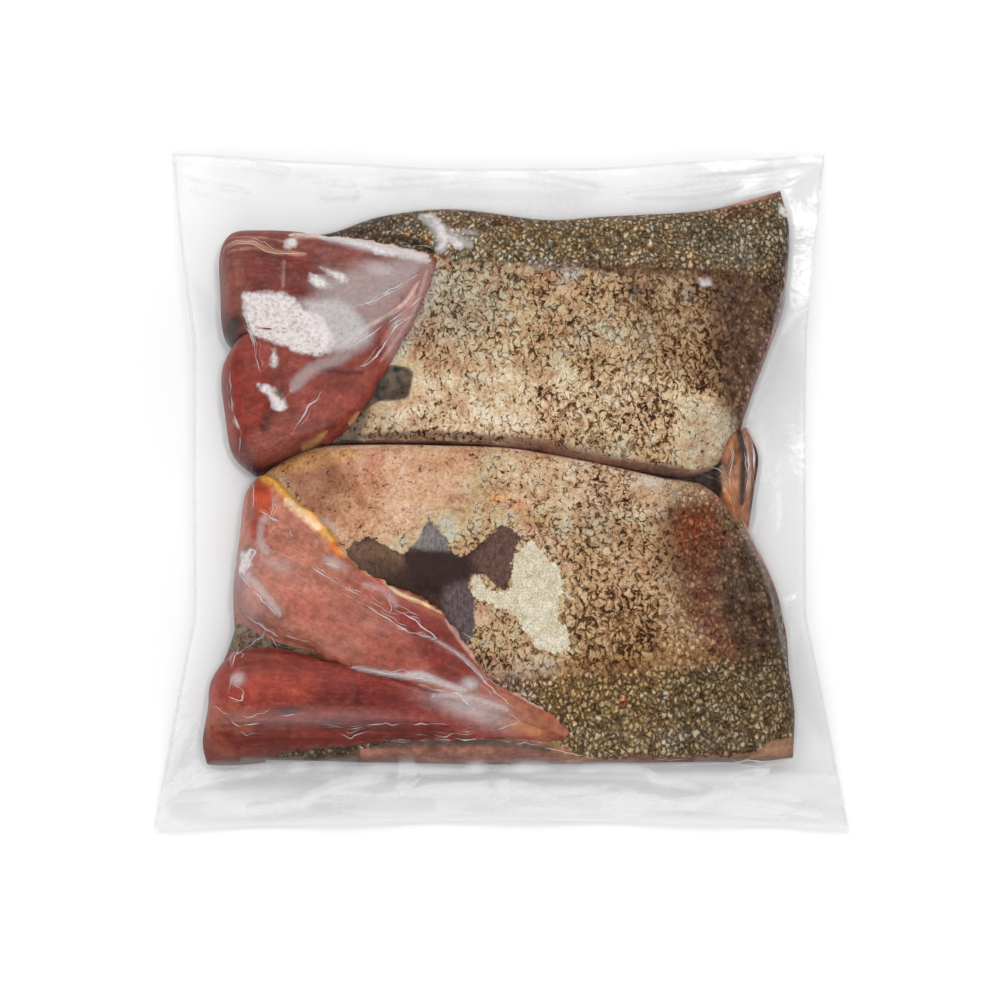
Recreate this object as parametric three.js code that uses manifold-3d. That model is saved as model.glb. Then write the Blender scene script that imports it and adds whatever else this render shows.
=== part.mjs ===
// A clear pouch, sealed under vacuum round two skin-on fish fillets.
// Millimetres, +Z up. The pouch lies flat, and the fillets' heads point towards +X.
// The origin is at the middle of the footprint, on the surface that the pouch lies on.
//
// The film clings to the fish, so the pouch is one solid: both fillets, their tail ends folded
// back over the skin, a loose strip of belly, the film drawn taut round them, and the flat rim.

import * as THREE from 'three';
import { mergeVertices, toCreasedNormals } from 'three/addons/utils/BufferGeometryUtils.js';
import Module from 'manifold-3d';

// Driving dimensions
const POUCH_WIDTH = 302; // across the seals at the corners
const POUCH_LENGTH = 312.4;
const MIDDLE = -1.2; // the middle of the pouch's length, in the outlines below
const RIM_HEIGHT = 8.5; // middle of the flat rim over the table, where it leaves the fish
const RIM_THICKNESS = 1.2;
const FILLET_THICKNESS = 27; // the thick middle of a fillet
const BELLY_THICKNESS = 16; // the thin edge of a fillet, where the two meet
const FOLD_HEIGHT = 38; // top of a folded tail
const UPPER_TIP_HEIGHT = 29.5; // top of the upper tail's tip, which lies on its fillet's thick middle
const LOWER_TIP_HEIGHT = 26; // the lower one lies near its fillet's rounded edge
const BELLY_STRIP_HEIGHT = 16;

const HALF_WIDTH = POUCH_WIDTH / 2;
const HALF_LENGTH = POUCH_LENGTH / 2;
const NORTH_END = MIDDLE + HALF_LENGTH;
const SOUTH_END = MIDDLE - HALF_LENGTH;

// A patch is a four-sided outline. Its south and north edges run towards +X,
// and its west and east edges run towards +Y. Each is a smooth curve through a few points.
const FILM = {
  south: [
    [-HALF_WIDTH + 1, SOUTH_END], [-75, -155.2], [0, -153.8], [86, -155], [HALF_WIDTH, SOUTH_END],
  ],
  north: [[-HALF_WIDTH, NORTH_END], [-78, 149], [0, 145.7], [73, 148.2], [HALF_WIDTH - 1.5, 154.2]],
  west: [
    [-HALF_WIDTH + 1, SOUTH_END], [-142.3, -111], [-136.4, -76], [-134.7, -65], [-135, -52],
    [-136.6, 0], [-137.9, 50], [-138.4, 63], [-140.5, 77], [-146, 114], [-HALF_WIDTH, NORTH_END],
  ],
  east: [
    [HALF_WIDTH, SOUTH_END], [143.2, -112], [136.8, -76], [135, -65], [135, -51],
    [136.4, 10], [138.4, 62], [139.8, 78], [141.8, 96], [145.8, 124], [HALF_WIDTH - 1.5, 154.2],
  ],
};

const UPPER_FILLET = {
  south: [
    [-110, 3], [-88, 10.7], [-66, 14.5], [-22, 14.7], [8, 11.8], [40, 5.4], [66, 1], [84, -0.5], [101, 4],
  ],
  north: [
    [-124, 106], [-99, 110.5], [-77, 113], [-54, 121], [-22, 124.5], [20, 119.5], [45, 121],
    [90, 124], [112, 129.5], [128, 134.5],
  ],
  west: [[-110, 3], [-121, 34], [-119, 60], [-125, 82], [-124, 106]],
  east: [
    [101, 4], [107, 20], [113.5, 39], [120.6, 57.5], [127.5, 76], [130.3, 96], [131.5, 116], [128, 134.5],
  ],
};

const LOWER_FILLET = {
  south: [[-124, -127.5], [-86, -128.3], [0, -130], [86, -128.9], [107, -129.2], [127, -127]],
  north: [
    [-106, 0], [-84, 11.5], [-60, 13], [-22, 12.4], [4, 11.6], [24, 8.5], [46, 4], [68, -0.8], [90, -4],
  ],
  west: [[-124, -127.5], [-123, -95], [-116, -70], [-113.5, -35], [-106, 0]],
  east: [
    [127, -127], [128.2, -107], [126.3, -89], [125.3, -71], [121.5, -53], [114.2, -35], [103.5, -15],
    [90, -4],
  ],
};

// Each tail splits along its midline into two lobes of flesh as it folds.
const UPPER_TAIL_BACK_LOBE = {
  south: [[-118, 56], [-88, 58], [-54, 73], [-29, 91]],
  north: [[-126, 106], [-118, 110.8], [-106, 111.5], [-89, 109.2], [-74, 107], [-46, 101.5], [-28, 95.5]],
  west: [[-118, 56], [-124.5, 65], [-126, 82], [-127, 97], [-126, 106]],
  east: [[-29, 91], [-28, 95.5]],
};

const UPPER_TAIL_BELLY_LOBE = {
  south: [[-109.5, 0], [-88, 9], [-71, 16], [-61, 27], [-54, 38.5], [-43, 57], [-36.5, 69], [-29, 90]],
  north: [[-118, 58], [-88, 64], [-54, 79], [-29, 93.5]],
  west: [[-109.5, 0], [-119, 9], [-122.5, 25], [-124.5, 45], [-118, 58]],
  east: [[-29, 90], [-29, 93.5]],
};

const LOWER_TAIL_BELLY_LOBE = {
  south: [[-116.5, -69], [-97, -80], [-82, -83.5], [-70, -91], [-43, -98], [-17, -107], [28, -121]],
  north: [
    [-106, -1], [-99, -4], [-87, -17], [-78, -24], [-67.5, -39.5], [-58.5, -48.5], [-43, -57],
    [-34, -60.5], [-24.5, -67], [-13, -84], [-2, -97.5], [18, -108.5], [30, -119],
  ],
  west: [[-116.5, -69], [-117, -51], [-115, -31], [-113, -10.5], [-106, -1]],
  east: [[28, -121], [30, -119]],
};

const LOWER_TAIL_BACK_LOBE = {
  south: [
    [-126.5, -131.5], [-104, -128.8], [-86.5, -126], [-65, -124], [-43, -122], [0, -121.5], [27, -122],
  ],
  north: [[-117, -84], [-102, -82.5], [-86, -84.5], [-69, -90], [-43, -97], [-17, -106], [28, -120.5]],
  west: [[-126.5, -131.5], [-130.5, -122], [-126.5, -107], [-124.5, -95], [-117, -84]],
  east: [[27, -122], [28, -120.5]],
};

const BELLY_STRIP = {
  south: [[103, -24], [110, -25]],
  north: [[102, 18], [110, 22]],
  west: [[103, -24], [95.5, -6], [98.5, 4], [102, 18]],
  east: [[110, -25], [113, -6], [115, 9], [110, 22]],
};

// Curves and patches

const edgeCurve = (points) => new THREE.SplineCurve(points.map(([x, y]) => new THREE.Vector2(x, y)));

// A Coons patch: the smoothest sheet between four edge curves. Both u and v run from 0 to 1.
function patchMap({ south, north, west, east }) {
  const [bottom, top, left, right] = [south, north, west, east].map(edgeCurve);
  const [southWest, southEast] = [bottom.getPoint(0), bottom.getPoint(1)];
  const [northWest, northEast] = [top.getPoint(0), top.getPoint(1)];
  return (u, v) => {
    const point = new THREE.Vector2();
    point.addScaledVector(bottom.getPointAt(u), 1 - v).addScaledVector(top.getPointAt(u), v);
    point.addScaledVector(left.getPointAt(v), 1 - u).addScaledVector(right.getPointAt(v), u);
    point.addScaledVector(southWest, -(1 - u) * (1 - v)).addScaledVector(southEast, -u * (1 - v));
    return point.addScaledVector(northWest, -(1 - u) * v).addScaledVector(northEast, -u * v);
  };
}

const mix = THREE.MathUtils.lerp;
const ramp = (value, from, to) => THREE.MathUtils.smoothstep(value, from, to);
const bump = (value, centre, spread) => Math.exp(-(((value - centre) / spread) ** 2));
const towardsEdges = (t) => 0.5 - 0.5 * Math.cos(Math.PI * t); // puts more steps near both edges

// How full a slab is at t along a side: 0 at either edge, and 1 once past the rounding.
function roundedEnds(t, startShare, endShare) {
  const quarter = (part, share) => (part < share ? Math.sqrt(1 - (1 - part / share) ** 2) : 1);
  return quarter(Math.max(t, 0), startShare) * quarter(Math.max(1 - t, 0), endShare);
}

// A closed slab over a patch. topAt and bottomAt give its two faces' heights at (u, v).
function slabGeometry(patch, topAt, bottomAt, lengthSteps, widthSteps, spread = towardsEdges) {
  const geometry = new THREE.BoxGeometry(1, 1, 1, lengthSteps, widthSteps, 1);
  const place = geometry.getAttribute('position');
  const at = patchMap(patch);
  for (let i = 0; i < place.count; i++) {
    const u = spread(THREE.MathUtils.clamp(place.getX(i) + 0.5, 0, 1));
    const v = spread(THREE.MathUtils.clamp(place.getY(i) + 0.5, 0, 1));
    const point = at(u, v);
    const height = place.getZ(i) > 0 ? topAt(u, v, point) : bottomAt(u, v, point);
    place.setXYZ(i, point.x, point.y, height);
  }
  return geometry;
}

// The fish

const SEAM_HEIGHT = RIM_HEIGHT - 1.5; // where the rounding of a fillet's lower face ends
const UNDERSIDE_ROUND = [0.07, 0.07]; // share of a slab that its flat lower face rounds off over

const flatBelow = (u, v) =>
  SEAM_HEIGHT * (1 - roundedEnds(u, ...UNDERSIDE_ROUND) * roundedEnds(v, ...UNDERSIDE_ROUND));

const roundedAbove = (crownAt, uRound, vRound) => (u, v) =>
  mix(RIM_HEIGHT, crownAt(u, v), roundedEnds(u, ...uRound) * roundedEnds(v, ...vRound));

const BACK_DROP = 3; // the back edge is lower than the middle by this
const HEAD_DROP = 4; // and so is the head end
const SWELL = 0.5; // soft unevenness of the skin
const FILLET_LENGTH_STEPS = 26;
const FILLET_WIDTH_STEPS = 16;

// Thin at the belly (v = 0), thick along the middle, and a little lower at the back.
function upperFillet() {
  const crown = (u, v) =>
    mix(BELLY_THICKNESS, FILLET_THICKNESS, ramp(v, 0, 0.5)) - BACK_DROP * ramp(v, 0.7, 1)
    - HEAD_DROP * ramp(u, 0.72, 1) + SWELL * Math.sin(9 * u + 4 * v);
  const above = roundedAbove(crown, [0.04, 0.06], [0.07, 0.16]);
  return slabGeometry(UPPER_FILLET, above, flatBelow, FILLET_LENGTH_STEPS, FILLET_WIDTH_STEPS);
}

// The other way round: its back is at v = 0 and its belly, at v = 1, meets the upper fillet.
function lowerFillet() {
  const crown = (u, v) =>
    mix(FILLET_THICKNESS, BELLY_THICKNESS, ramp(v, 0.5, 1)) - BACK_DROP * ramp(0.25 - v, 0, 0.25)
    - HEAD_DROP * ramp(u, 0.75, 1) + SWELL * Math.sin(8 * u + 5 * v);
  const above = roundedAbove(crown, [0.04, 0.07], [0.12, 0.06]);
  return slabGeometry(LOWER_FILLET, above, flatBelow, FILLET_LENGTH_STEPS, FILLET_WIDTH_STEPS);
}

const FOLD_SHARE = 0.13; // of a lobe's length, that its rounded fold takes
const LOBE_FLOOR = [3, 15]; // a lobe's lower face, inside the fillet: at the fold, and from the middle on
const LOBE_LENGTH_STEPS = 20;
const LOBE_WIDTH_STEPS = 10;

// A lobe of a folded tail, highest just inside the fold at u = 0 and thin at the tip, u = 1.
function tailLobe(patch, foldHeight, tipHeight, vRound, relief) {
  const crown = (u, v) => mix(foldHeight, tipHeight, ramp(u, 0.05, 1)) + relief(u, v);
  const above = roundedAbove(crown, [FOLD_SHARE, 0.03], vRound);
  const below = (u, v) =>
    mix(...LOBE_FLOOR, ramp(u, 0.1, 0.5)) + (SEAM_HEIGHT - LOBE_FLOOR[0]) * (1 - roundedEnds(u, 0.1, 0.1));
  return slabGeometry(patch, above, below, LOBE_LENGTH_STEPS, LOBE_WIDTH_STEPS);
}

const THIN_EDGE_DROP = 9; // a belly lobe slopes down this far to its thin edge
const VALLEY_DEPTH = 3; // of the valley across the upper belly lobe, near its fold
const ROLL_DROP = 6; // the roll of muscle along the lower tail's outer edge lies lower by this
const CREASE_DEPTH = 2.5; // between that roll and the rest of the lobe

const tailLobes = () => [
  tailLobe(UPPER_TAIL_BACK_LOBE, FOLD_HEIGHT, UPPER_TIP_HEIGHT, [0.08, 0.3],
    (u, v) => 1.2 * Math.sin(5 * v + 1) * (1 - u)),
  tailLobe(UPPER_TAIL_BELLY_LOBE, FOLD_HEIGHT - 1, UPPER_TIP_HEIGHT, [0.16, 0.08],
    (u, v) => -THIN_EDGE_DROP * ramp(0.6 - v, 0, 0.6) * (1 - 0.5 * u)
      - VALLEY_DEPTH * bump(u, 0.3, 0.07) * ramp(0.6 - v, 0, 0.3)),
  tailLobe(LOWER_TAIL_BELLY_LOBE, FOLD_HEIGHT, LOWER_TIP_HEIGHT, [0.16, 0.14],
    (u, v) => -THIN_EDGE_DROP * ramp(v, 0.35, 1) * (1 - u)),
  tailLobe(LOWER_TAIL_BACK_LOBE, FOLD_HEIGHT - 3, LOWER_TIP_HEIGHT - 1, [0.3, 0.16],
    (u, v) => -ROLL_DROP * ramp(0.45 - v, 0, 0.3)
      - CREASE_DEPTH * bump(v, 0.42, 0.05) * (1 - ramp(u, 0.5, 0.8))),
];

function bellyStrip() {
  const outerDrop = (u) => 3 * ramp(u, 0.5, 1);
  const groove = (u) => 2 * bump(u, 0.45, 0.1);
  const crown = (u, v) => BELLY_STRIP_HEIGHT - outerDrop(u) - groove(u) + Math.sin(7 * v);
  return slabGeometry(BELLY_STRIP, roundedAbove(crown, [0.25, 0.4], [0.2, 0.2]), flatBelow, 8, 10);
}

// The pouch

// The rim waves a little, its corners sink, and folds run out from the fish to the corners.
const RIM_WAVES = 4; // along each side
const RIM_WAVE_HEIGHT = 1.3;
const RIM_SAG = 1.5;
const SOUTH_SAG = 4; // the edge that is sealed last hangs lower
const CORNER_DROP = 4.5;
const CORNER_FOLD_HEIGHT = 1.1;

function rimHeight({ x, y }) {
  const [acrossX, acrossY] = [x / HALF_WIDTH, (y - MIDDLE) / HALF_LENGTH];
  const [outX, outY] = [Math.abs(acrossX), Math.abs(acrossY)];
  const corner = ramp(outX, 0.72, 1) * ramp(outY, 0.72, 1);
  const wave = Math.sin(Math.PI * RIM_WAVES * acrossX + 0.8) * outY ** 8
    + Math.sin(Math.PI * RIM_WAVES * acrossY + 2.1) * outX ** 8;
  const cornerFold = Math.sin(9 * Math.atan2(outY - 0.6, outX - 0.6));
  const sag = RIM_SAG * ramp(Math.max(outX, outY), 0.82, 1)
    + SOUTH_SAG * ramp(-acrossY, 0.86, 1) * (1 - corner);
  return RIM_HEIGHT - sag + RIM_WAVE_HEIGHT * wave * (1 - corner)
    - CORNER_DROP * corner + CORNER_FOLD_HEIGHT * cornerFold * ramp(corner, 0.05, 0.6);
}

// Near the fish the film rises from the rim, above and below, until it meets the fillets' sides.
const RISE_FROM = 0.03; // share of the film's width or length, in from its edge
const RISE_TO = 0.12;
const RISE_ABOVE = 4; // over the rim, at RISE_TO
const RISE_BELOW = 6.5;
const FILM_STEPS = 38; // along each side

function film() {
  const rise = (u, v) => ramp(Math.min(u, 1 - u, v, 1 - v), RISE_FROM, RISE_TO);
  const above = (u, v, point) => rimHeight(point) + RIM_THICKNESS / 2 + RISE_ABOVE * rise(u, v);
  const below = (u, v, point) => rimHeight(point) - RIM_THICKNESS / 2 - RISE_BELOW * rise(u, v);
  const nearTheRim = (t) => mix(t, towardsEdges(t), 0.6);
  return slabGeometry(FILM, above, below, FILM_STEPS, FILM_STEPS, nearTheRim);
}

// Joining

const CREASE_ANGLE = Math.PI / 6; // faces that meet at less than this shade as one smooth surface

const wasm = await Module();
wasm.setup();

function solidOf(geometry) {
  geometry.deleteAttribute('normal');
  geometry.deleteAttribute('uv');
  const merged = mergeVertices(geometry, 1e-4);
  return new wasm.Manifold(new wasm.Mesh({
    numProp: 3,
    vertProperties: merged.getAttribute('position').array,
    triVerts: new Uint32Array(merged.index.array),
  }));
}

function geometryOf(solid) {
  const { numProp, numVert, vertProperties, triVerts } = solid.getMesh();
  const points = new Float32Array(numVert * 3);
  for (let i = 0; i < numVert; i++) {
    points.set(vertProperties.subarray(i * numProp, i * numProp + 3), i * 3);
  }
  const geometry = new THREE.BufferGeometry();
  geometry.setAttribute('position', new THREE.BufferAttribute(points, 3));
  geometry.setIndex(new THREE.BufferAttribute(triVerts, 1));
  return toCreasedNormals(geometry, CREASE_ANGLE);
}

const forms = [upperFillet(), lowerFillet(), ...tailLobes(), bellyStrip(), film()];
const pack = forms.map(solidOf).reduce((whole, form) => whole.add(form));

const clearFilm = new THREE.MeshStandardMaterial({ color: '#b58a78', roughness: 0.25, metalness: 0 });

const pouch = new THREE.Mesh(geometryOf(pack), clearFilm);
pouch.name = 'sealed_pouch';
pouch.position.y = -MIDDLE;

const model = new THREE.Group();
model.add(pouch);

export default model;
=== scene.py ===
"""A clear pouch, vacuum-sealed round two skin-on fish fillets.

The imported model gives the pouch's size and place. The fillets, their folded tails and a loose
strip of belly come first, and then the two films are drawn down over them, as the vacuum does.
Lengths are millimetres of the pouch until a mesh is written, and MM turns them to metres.
"""
import math
from collections import namedtuple
from functools import partial

import bmesh
import bpy
import numpy as np
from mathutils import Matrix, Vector
from mathutils.bvhtree import BVHTree


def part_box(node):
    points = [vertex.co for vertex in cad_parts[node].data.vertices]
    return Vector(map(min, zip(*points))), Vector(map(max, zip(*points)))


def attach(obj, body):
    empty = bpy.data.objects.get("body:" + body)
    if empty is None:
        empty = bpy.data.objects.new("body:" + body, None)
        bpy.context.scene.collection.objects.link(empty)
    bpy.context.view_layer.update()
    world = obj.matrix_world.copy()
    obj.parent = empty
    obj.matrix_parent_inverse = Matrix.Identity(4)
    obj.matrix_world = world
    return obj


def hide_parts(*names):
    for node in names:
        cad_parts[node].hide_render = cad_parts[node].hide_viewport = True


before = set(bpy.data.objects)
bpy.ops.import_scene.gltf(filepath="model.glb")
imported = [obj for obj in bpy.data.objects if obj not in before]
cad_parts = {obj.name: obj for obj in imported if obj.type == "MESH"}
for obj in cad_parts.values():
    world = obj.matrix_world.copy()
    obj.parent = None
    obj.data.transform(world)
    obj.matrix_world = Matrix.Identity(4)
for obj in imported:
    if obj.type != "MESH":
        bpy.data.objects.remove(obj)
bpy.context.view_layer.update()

bl_info = {
    "name": "Sealed pouch of fish fillets",
    "version": (1, 0, 0),
    "blender": (4, 5, 0),
    "location": "View3D > Sidebar > Pouch",
    "description": "Builds a clear vacuum pouch with two skin-on fish fillets",
    "category": "Add Mesh",
}

# Sizes

POUCH = "sealed_pouch"
LOW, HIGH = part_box(POUCH)
POUCH_WIDTH = 302.0
MM = (HIGH.x - LOW.x) / POUCH_WIDTH
HALF_WIDTH = POUCH_WIDTH / 2
HALF_LENGTH = (HIGH.y - LOW.y) / MM / 2
MIDDLE = -1.2  # the middle of the pouch's length, in the outlines and marks below
NORTH_END, SOUTH_END = MIDDLE + HALF_LENGTH, MIDDLE - HALF_LENGTH
TOP = HIGH.z / MM

RIM_HEIGHT = 8.5
UNDER_EDGE = RIM_HEIGHT - 1.5  # where a slab's underside meets its side
FLOOR_HEIGHT = 0.5  # the fish's underside, over the back film
FILLET_LENGTH = 250.0
FILLET_WIDTH = 128.0
FILLET_THICKNESS = 27.0
BELLY_THICKNESS = 16.0
BELLY_STRIP_HEIGHT = 16.0
FOLD_HEIGHT = TOP - 0.8
LOBE_THICKNESS, TIP_THICKNESS = 5.5, 1.6  # of a folded tail's lobes, near the fold and at the tip
FILM_GAP = 0.4  # between the film and what it lies on
SKIN_STEP = 0.85  # between the points of a fillet's surface

# Outlines on the plan. South and north edges run towards +X, west and east ones towards +Y.

FILM = {
    "south": [
        (-HALF_WIDTH + 1, SOUTH_END), (-75, -155.2), (0, -153.8), (86, -155), (HALF_WIDTH, SOUTH_END),
    ],
    "north": [(-HALF_WIDTH, NORTH_END), (-78, 149), (0, 145.7), (73, 148.2), (HALF_WIDTH - 1.5, 154.2)],
    "west": [
        (-HALF_WIDTH + 1, SOUTH_END), (-142.3, -111), (-136.4, -76), (-134.7, -65), (-135, -52),
        (-136.6, 0), (-137.9, 50), (-138.4, 63), (-140.5, 77), (-146, 114), (-HALF_WIDTH, NORTH_END),
    ],
    "east": [
        (HALF_WIDTH, SOUTH_END), (143.2, -112), (136.8, -76), (135, -65), (135, -51),
        (136.4, 10), (138.4, 62), (139.8, 78), (141.8, 96), (145.8, 124), (HALF_WIDTH - 1.5, 154.2),
    ],
}
UPPER_FILLET = {
    "south": [
        (-110, 3), (-88, 10.4), (-66, 14), (-22, 14), (8, 11.2), (40, 4.8), (66, 0.4), (84, -1), (101, 4),
    ],
    "north": [
        (-124, 106), (-99, 110.5), (-77, 113), (-54, 121), (-22, 124.5), (20, 119.5), (45, 121),
        (90, 124), (112, 129.5), (128, 134.5),
    ],
    "west": [(-110, 3), (-121, 34), (-119, 60), (-125, 82), (-124, 106)],
    "east": [
        (101, 4), (107, 20), (113.5, 39), (120.6, 57.5), (127.5, 76), (130.3, 96), (131.5, 116),
        (128, 134.5),
    ],
}
LOWER_FILLET = {
    "south": [(-124, -127.5), (-86, -128.3), (0, -130), (86, -128.9), (107, -129.2), (127, -127)],
    "north": [
        (-106, 0), (-84, 12), (-60, 13.8), (-22, 13.4), (4, 12.4), (24, 9.2), (46, 4.8), (68, 0),
        (90, -3.4),
    ],
    "west": [(-124, -127.5), (-123, -95), (-116, -70), (-113.5, -35), (-106, 0)],
    "east": [
        (127, -127), (128.2, -107), (126.3, -89), (125.3, -71), (121.5, -53), (114.2, -35), (103.5, -15),
        (90, -4),
    ],
}
UPPER_BACK_LOBE = {
    "south": [(-118, 56), (-88, 58), (-54, 73), (-29, 91)],
    "north": [
        (-126, 106), (-118, 110.8), (-106, 111.5), (-89, 109.2), (-74, 107), (-46, 101.5), (-28, 95.5),
    ],
    "west": [(-118, 56), (-124.5, 65), (-126, 82), (-127, 97), (-126, 106)],
    "east": [(-29, 91), (-28, 95.5)],
}
UPPER_BELLY_LOBE = {
    "south": [(-109.5, 0), (-88, 9), (-71, 16), (-61, 27), (-54, 38.5), (-43, 57), (-36.5, 69), (-29, 90)],
    "north": [(-118, 58), (-88, 64), (-54, 79), (-29, 93.5)],
    "west": [(-109.5, 0), (-119, 9), (-122.5, 25), (-124.5, 45), (-118, 58)],
    "east": [(-29, 90), (-29, 93.5)],
}
LOWER_BELLY_LOBE = {
    "south": [(-116.5, -69), (-97, -80), (-82, -83.5), (-70, -91), (-43, -98), (-17, -107), (28, -121)],
    "north": [
        (-106, -1), (-99, -4), (-87, -17), (-78, -24), (-67.5, -39.5), (-58.5, -48.5), (-43, -57),
        (-34, -60.5), (-24.5, -67), (-13, -84), (-2, -97.5), (18, -108.5), (30, -119),
    ],
    "west": [(-116.5, -69), (-117, -51), (-115, -31), (-113, -10.5), (-106, -1)],
    "east": [(28, -121), (30, -119)],
}
LOWER_BACK_LOBE = {
    "south": [
        (-127, -129.8), (-104, -128.2), (-86.5, -126), (-65, -124), (-43, -122), (0, -121.5), (27, -122),
    ],
    "north": [(-119, -84), (-102, -82.5), (-86, -84.5), (-69, -90), (-43, -97), (-17, -106), (28, -120.5)],
    "west": [(-127, -129.8), (-129, -121), (-127, -107), (-126, -95), (-119, -84)],
    "east": [(27, -122), (28, -120.5)],
}
BELLY_STRIP = {
    "south": [(103, -24), (110, -25)],
    "north": [(102, 18), (110, 22)],
    "west": [(103, -24), (97, -11), (86, -2), (96, 4), (102, 18)],
    "east": [(110, -25), (113, -6), (115, 9), (110, 22)],
}

# Marks on the plan. A mark is a spot, a stroke or an area. Its amount is how strongly it paints or
# works, or a height in millimetres where it shapes. Only a mark that paints has a colour.

Spot = namedtuple("Spot", "x y length width turn amount colour", defaults=[None])
Stroke = namedtuple("Stroke", "points reach amount colour", defaults=[None])
Area = namedtuple("Area", "points edge amount colour", defaults=[None])

UPPER_BACK_LINE = [(-128, 98), (-31, 97), (0, 93), (36, 91), (89, 89), (132, 83)]
LOWER_BACK_LINE = [(-128, -100), (17, -95), (43, -93), (78, -91), (103, -86), (130, -80)]

TORN_SKIN = [
    (-66, -36), (-60, -33), (-53, -34), (-47, -38), (-43, -40), (-37, -35), (-31, -25), (-26, -29),
    (-22, -38), (-17, -42), (-12, -38), (-8, -35), (-4, -32), (-1, -28), (3, -27), (7, -30), (8, -35),
    (6, -40), (5, -46), (4, -54), (1, -57), (-4, -53), (-9, -49), (-13, -51), (-12, -59), (-11, -70),
    (-14, -79), (-19, -81), (-26, -73), (-43, -62), (-56, -53), (-70, -44),
]
BARE_SKIN = [
    (11, -37), (15, -35), (19, -39), (22, -44), (26, -48), (27, -56), (25.6, -64), (27, -72), (30, -79),
    (29, -83), (24, -85), (20, -85), (16, -82), (11.7, -75.6), (7, -69), (1, -65), (-5, -63), (-12.6, -59),
    (-13.5, -55), (-11, -51), (-7, -53.4), (-1.7, -58), (3.5, -57), (5.2, -50.7), (6, -42), (8, -39),
]

UPPER_SKIN_MARKS = [
    Area([(-52, 20), (20, 18), (20, 50), (-40, 70)], 18, 0.35, "cdb08e"),
    Area([(-90, 10), (-66, 14), (-30, 16), (-30, 24), (-54, 30), (-80, 26)], 7, 0.5, "b59d84"),
    Area([(-45, 18), (20, 16), (25, 40), (-45, 42)], 8, 0.5, "e0c4a4"),
    Area([(56, 90), (104, 90), (106, 44), (84, 40), (60, 54)], 18, 0.6, "8f6d4e"),
    Area([(26, 18), (84, 14), (90, 38), (26, 42)], 8, 0.5, "dfc6a4"),
    Area([(94, 88), (128, 88), (132, 60), (112, 14), (100, 22), (94, 60)], 12, 0.9, "56382a"),
    Stroke([(132, 124), (129, 92), (124, 60), (111, 22)], 8, 0.8, "51423c"),
    Area([(84, 30), (100, 28), (106, 14), (101, 4), (82, 4)], 8, 0.75, "b5a48c"),
    Area([(84, 116), (126, 122), (128, 100), (100, 96), (78, 100)], 8, 0.5, "85816e"),
    Stroke([(84, 122), (100, 126), (114, 130), (127, 135)], 3.4, 0.95, "c39a8e"),
    Stroke([(130, 100), (127, 77), (120, 58), (113.5, 40), (108, 24)], 3.2, 0.75, "96756c"),
    Spot(106, 121, 12, 5, -0.1, 0.8, "7d5430"),
    Spot(98, 108, 14, 6, 0.0, 0.6, "6c6a58"),
    Spot(1, 117, 6, 6, 0.0, 0.7, "8a5c36"),
    Spot(-12, 121, 5, 4, 0.0, 0.6, "5a3526"),
    Stroke([(36, 92), (66, 90), (94, 89), (112, 86)], 4, 0.75, "6b4526"),
    Stroke([(12, 93), (24, 92), (36, 91)], 5, 0.6, "9b9092"),
    Spot(30, 86, 5, 4, 0.0, 0.5, "a89e9e"),
    Spot(60, 80, 3.5, 3, 0.0, 0.85, "3f3f3d"),
    Spot(84, 78, 4, 4, 0.0, 0.5, "77777a"),
    Spot(86, 98, 4, 4, 0.0, 0.7, "c0a468"),
    Spot(7, 40, 8, 5, 0.2, 0.7, "d3bd98"),
    Spot(27, 43, 7, 5, 0.2, 0.55, "d0bc98"),
    Spot(-12, 40, 5, 5, 0.0, 0.5, "c0b596"),
    Spot(40, 60, 12, 8, 0.4, 0.35, "b5ab98"),
    Spot(-18, 74, 12, 16, 0.0, 0.4, "b9ab98"),
    Area([(-34, 56), (-10, 60), (12, 90), (-30, 95)], 10, 0.4, "989482"),
    Area([(-62, 40), (-52, 46), (-45, 46.6), (-39, 44.5), (-39.5, 38), (-41, 33), (-47, 31.5), (-54, 31),
          (-64, 26)], 1.0, 0.97, "2f2c2b"),
    Area([(-80, 16), (-70, 30), (-58, 34), (-60, 20), (-66, 10), (-80, 8)], 3, 0.85, "4a4540"),
    Stroke([(-44, 100), (-60, 108), (-86, 112)], 5, 0.7, "5a3b36"),
    Stroke([(-52, 107), (-40, 104), (-29, 98)], 2.8, 0.9, "241816"),
    Area([(-84, 126), (-56, 126), (-44, 110), (-84, 106)], 8, 0.7, "5c4c42"),
    # painted shade: the groove where the fillets meet, darker brown where the skin turns down, partly the
    # flesh edge's own colour
    Stroke([(-62, 16), (-30, 17), (0, 15), (10, 13)], 2.5, 0.85, "6b4c44"),
    Stroke([(6, 15), (24, 11), (44, 6), (66, 2), (84, 1)], 4, 0.95, "6f4e3e"),
]
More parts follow.
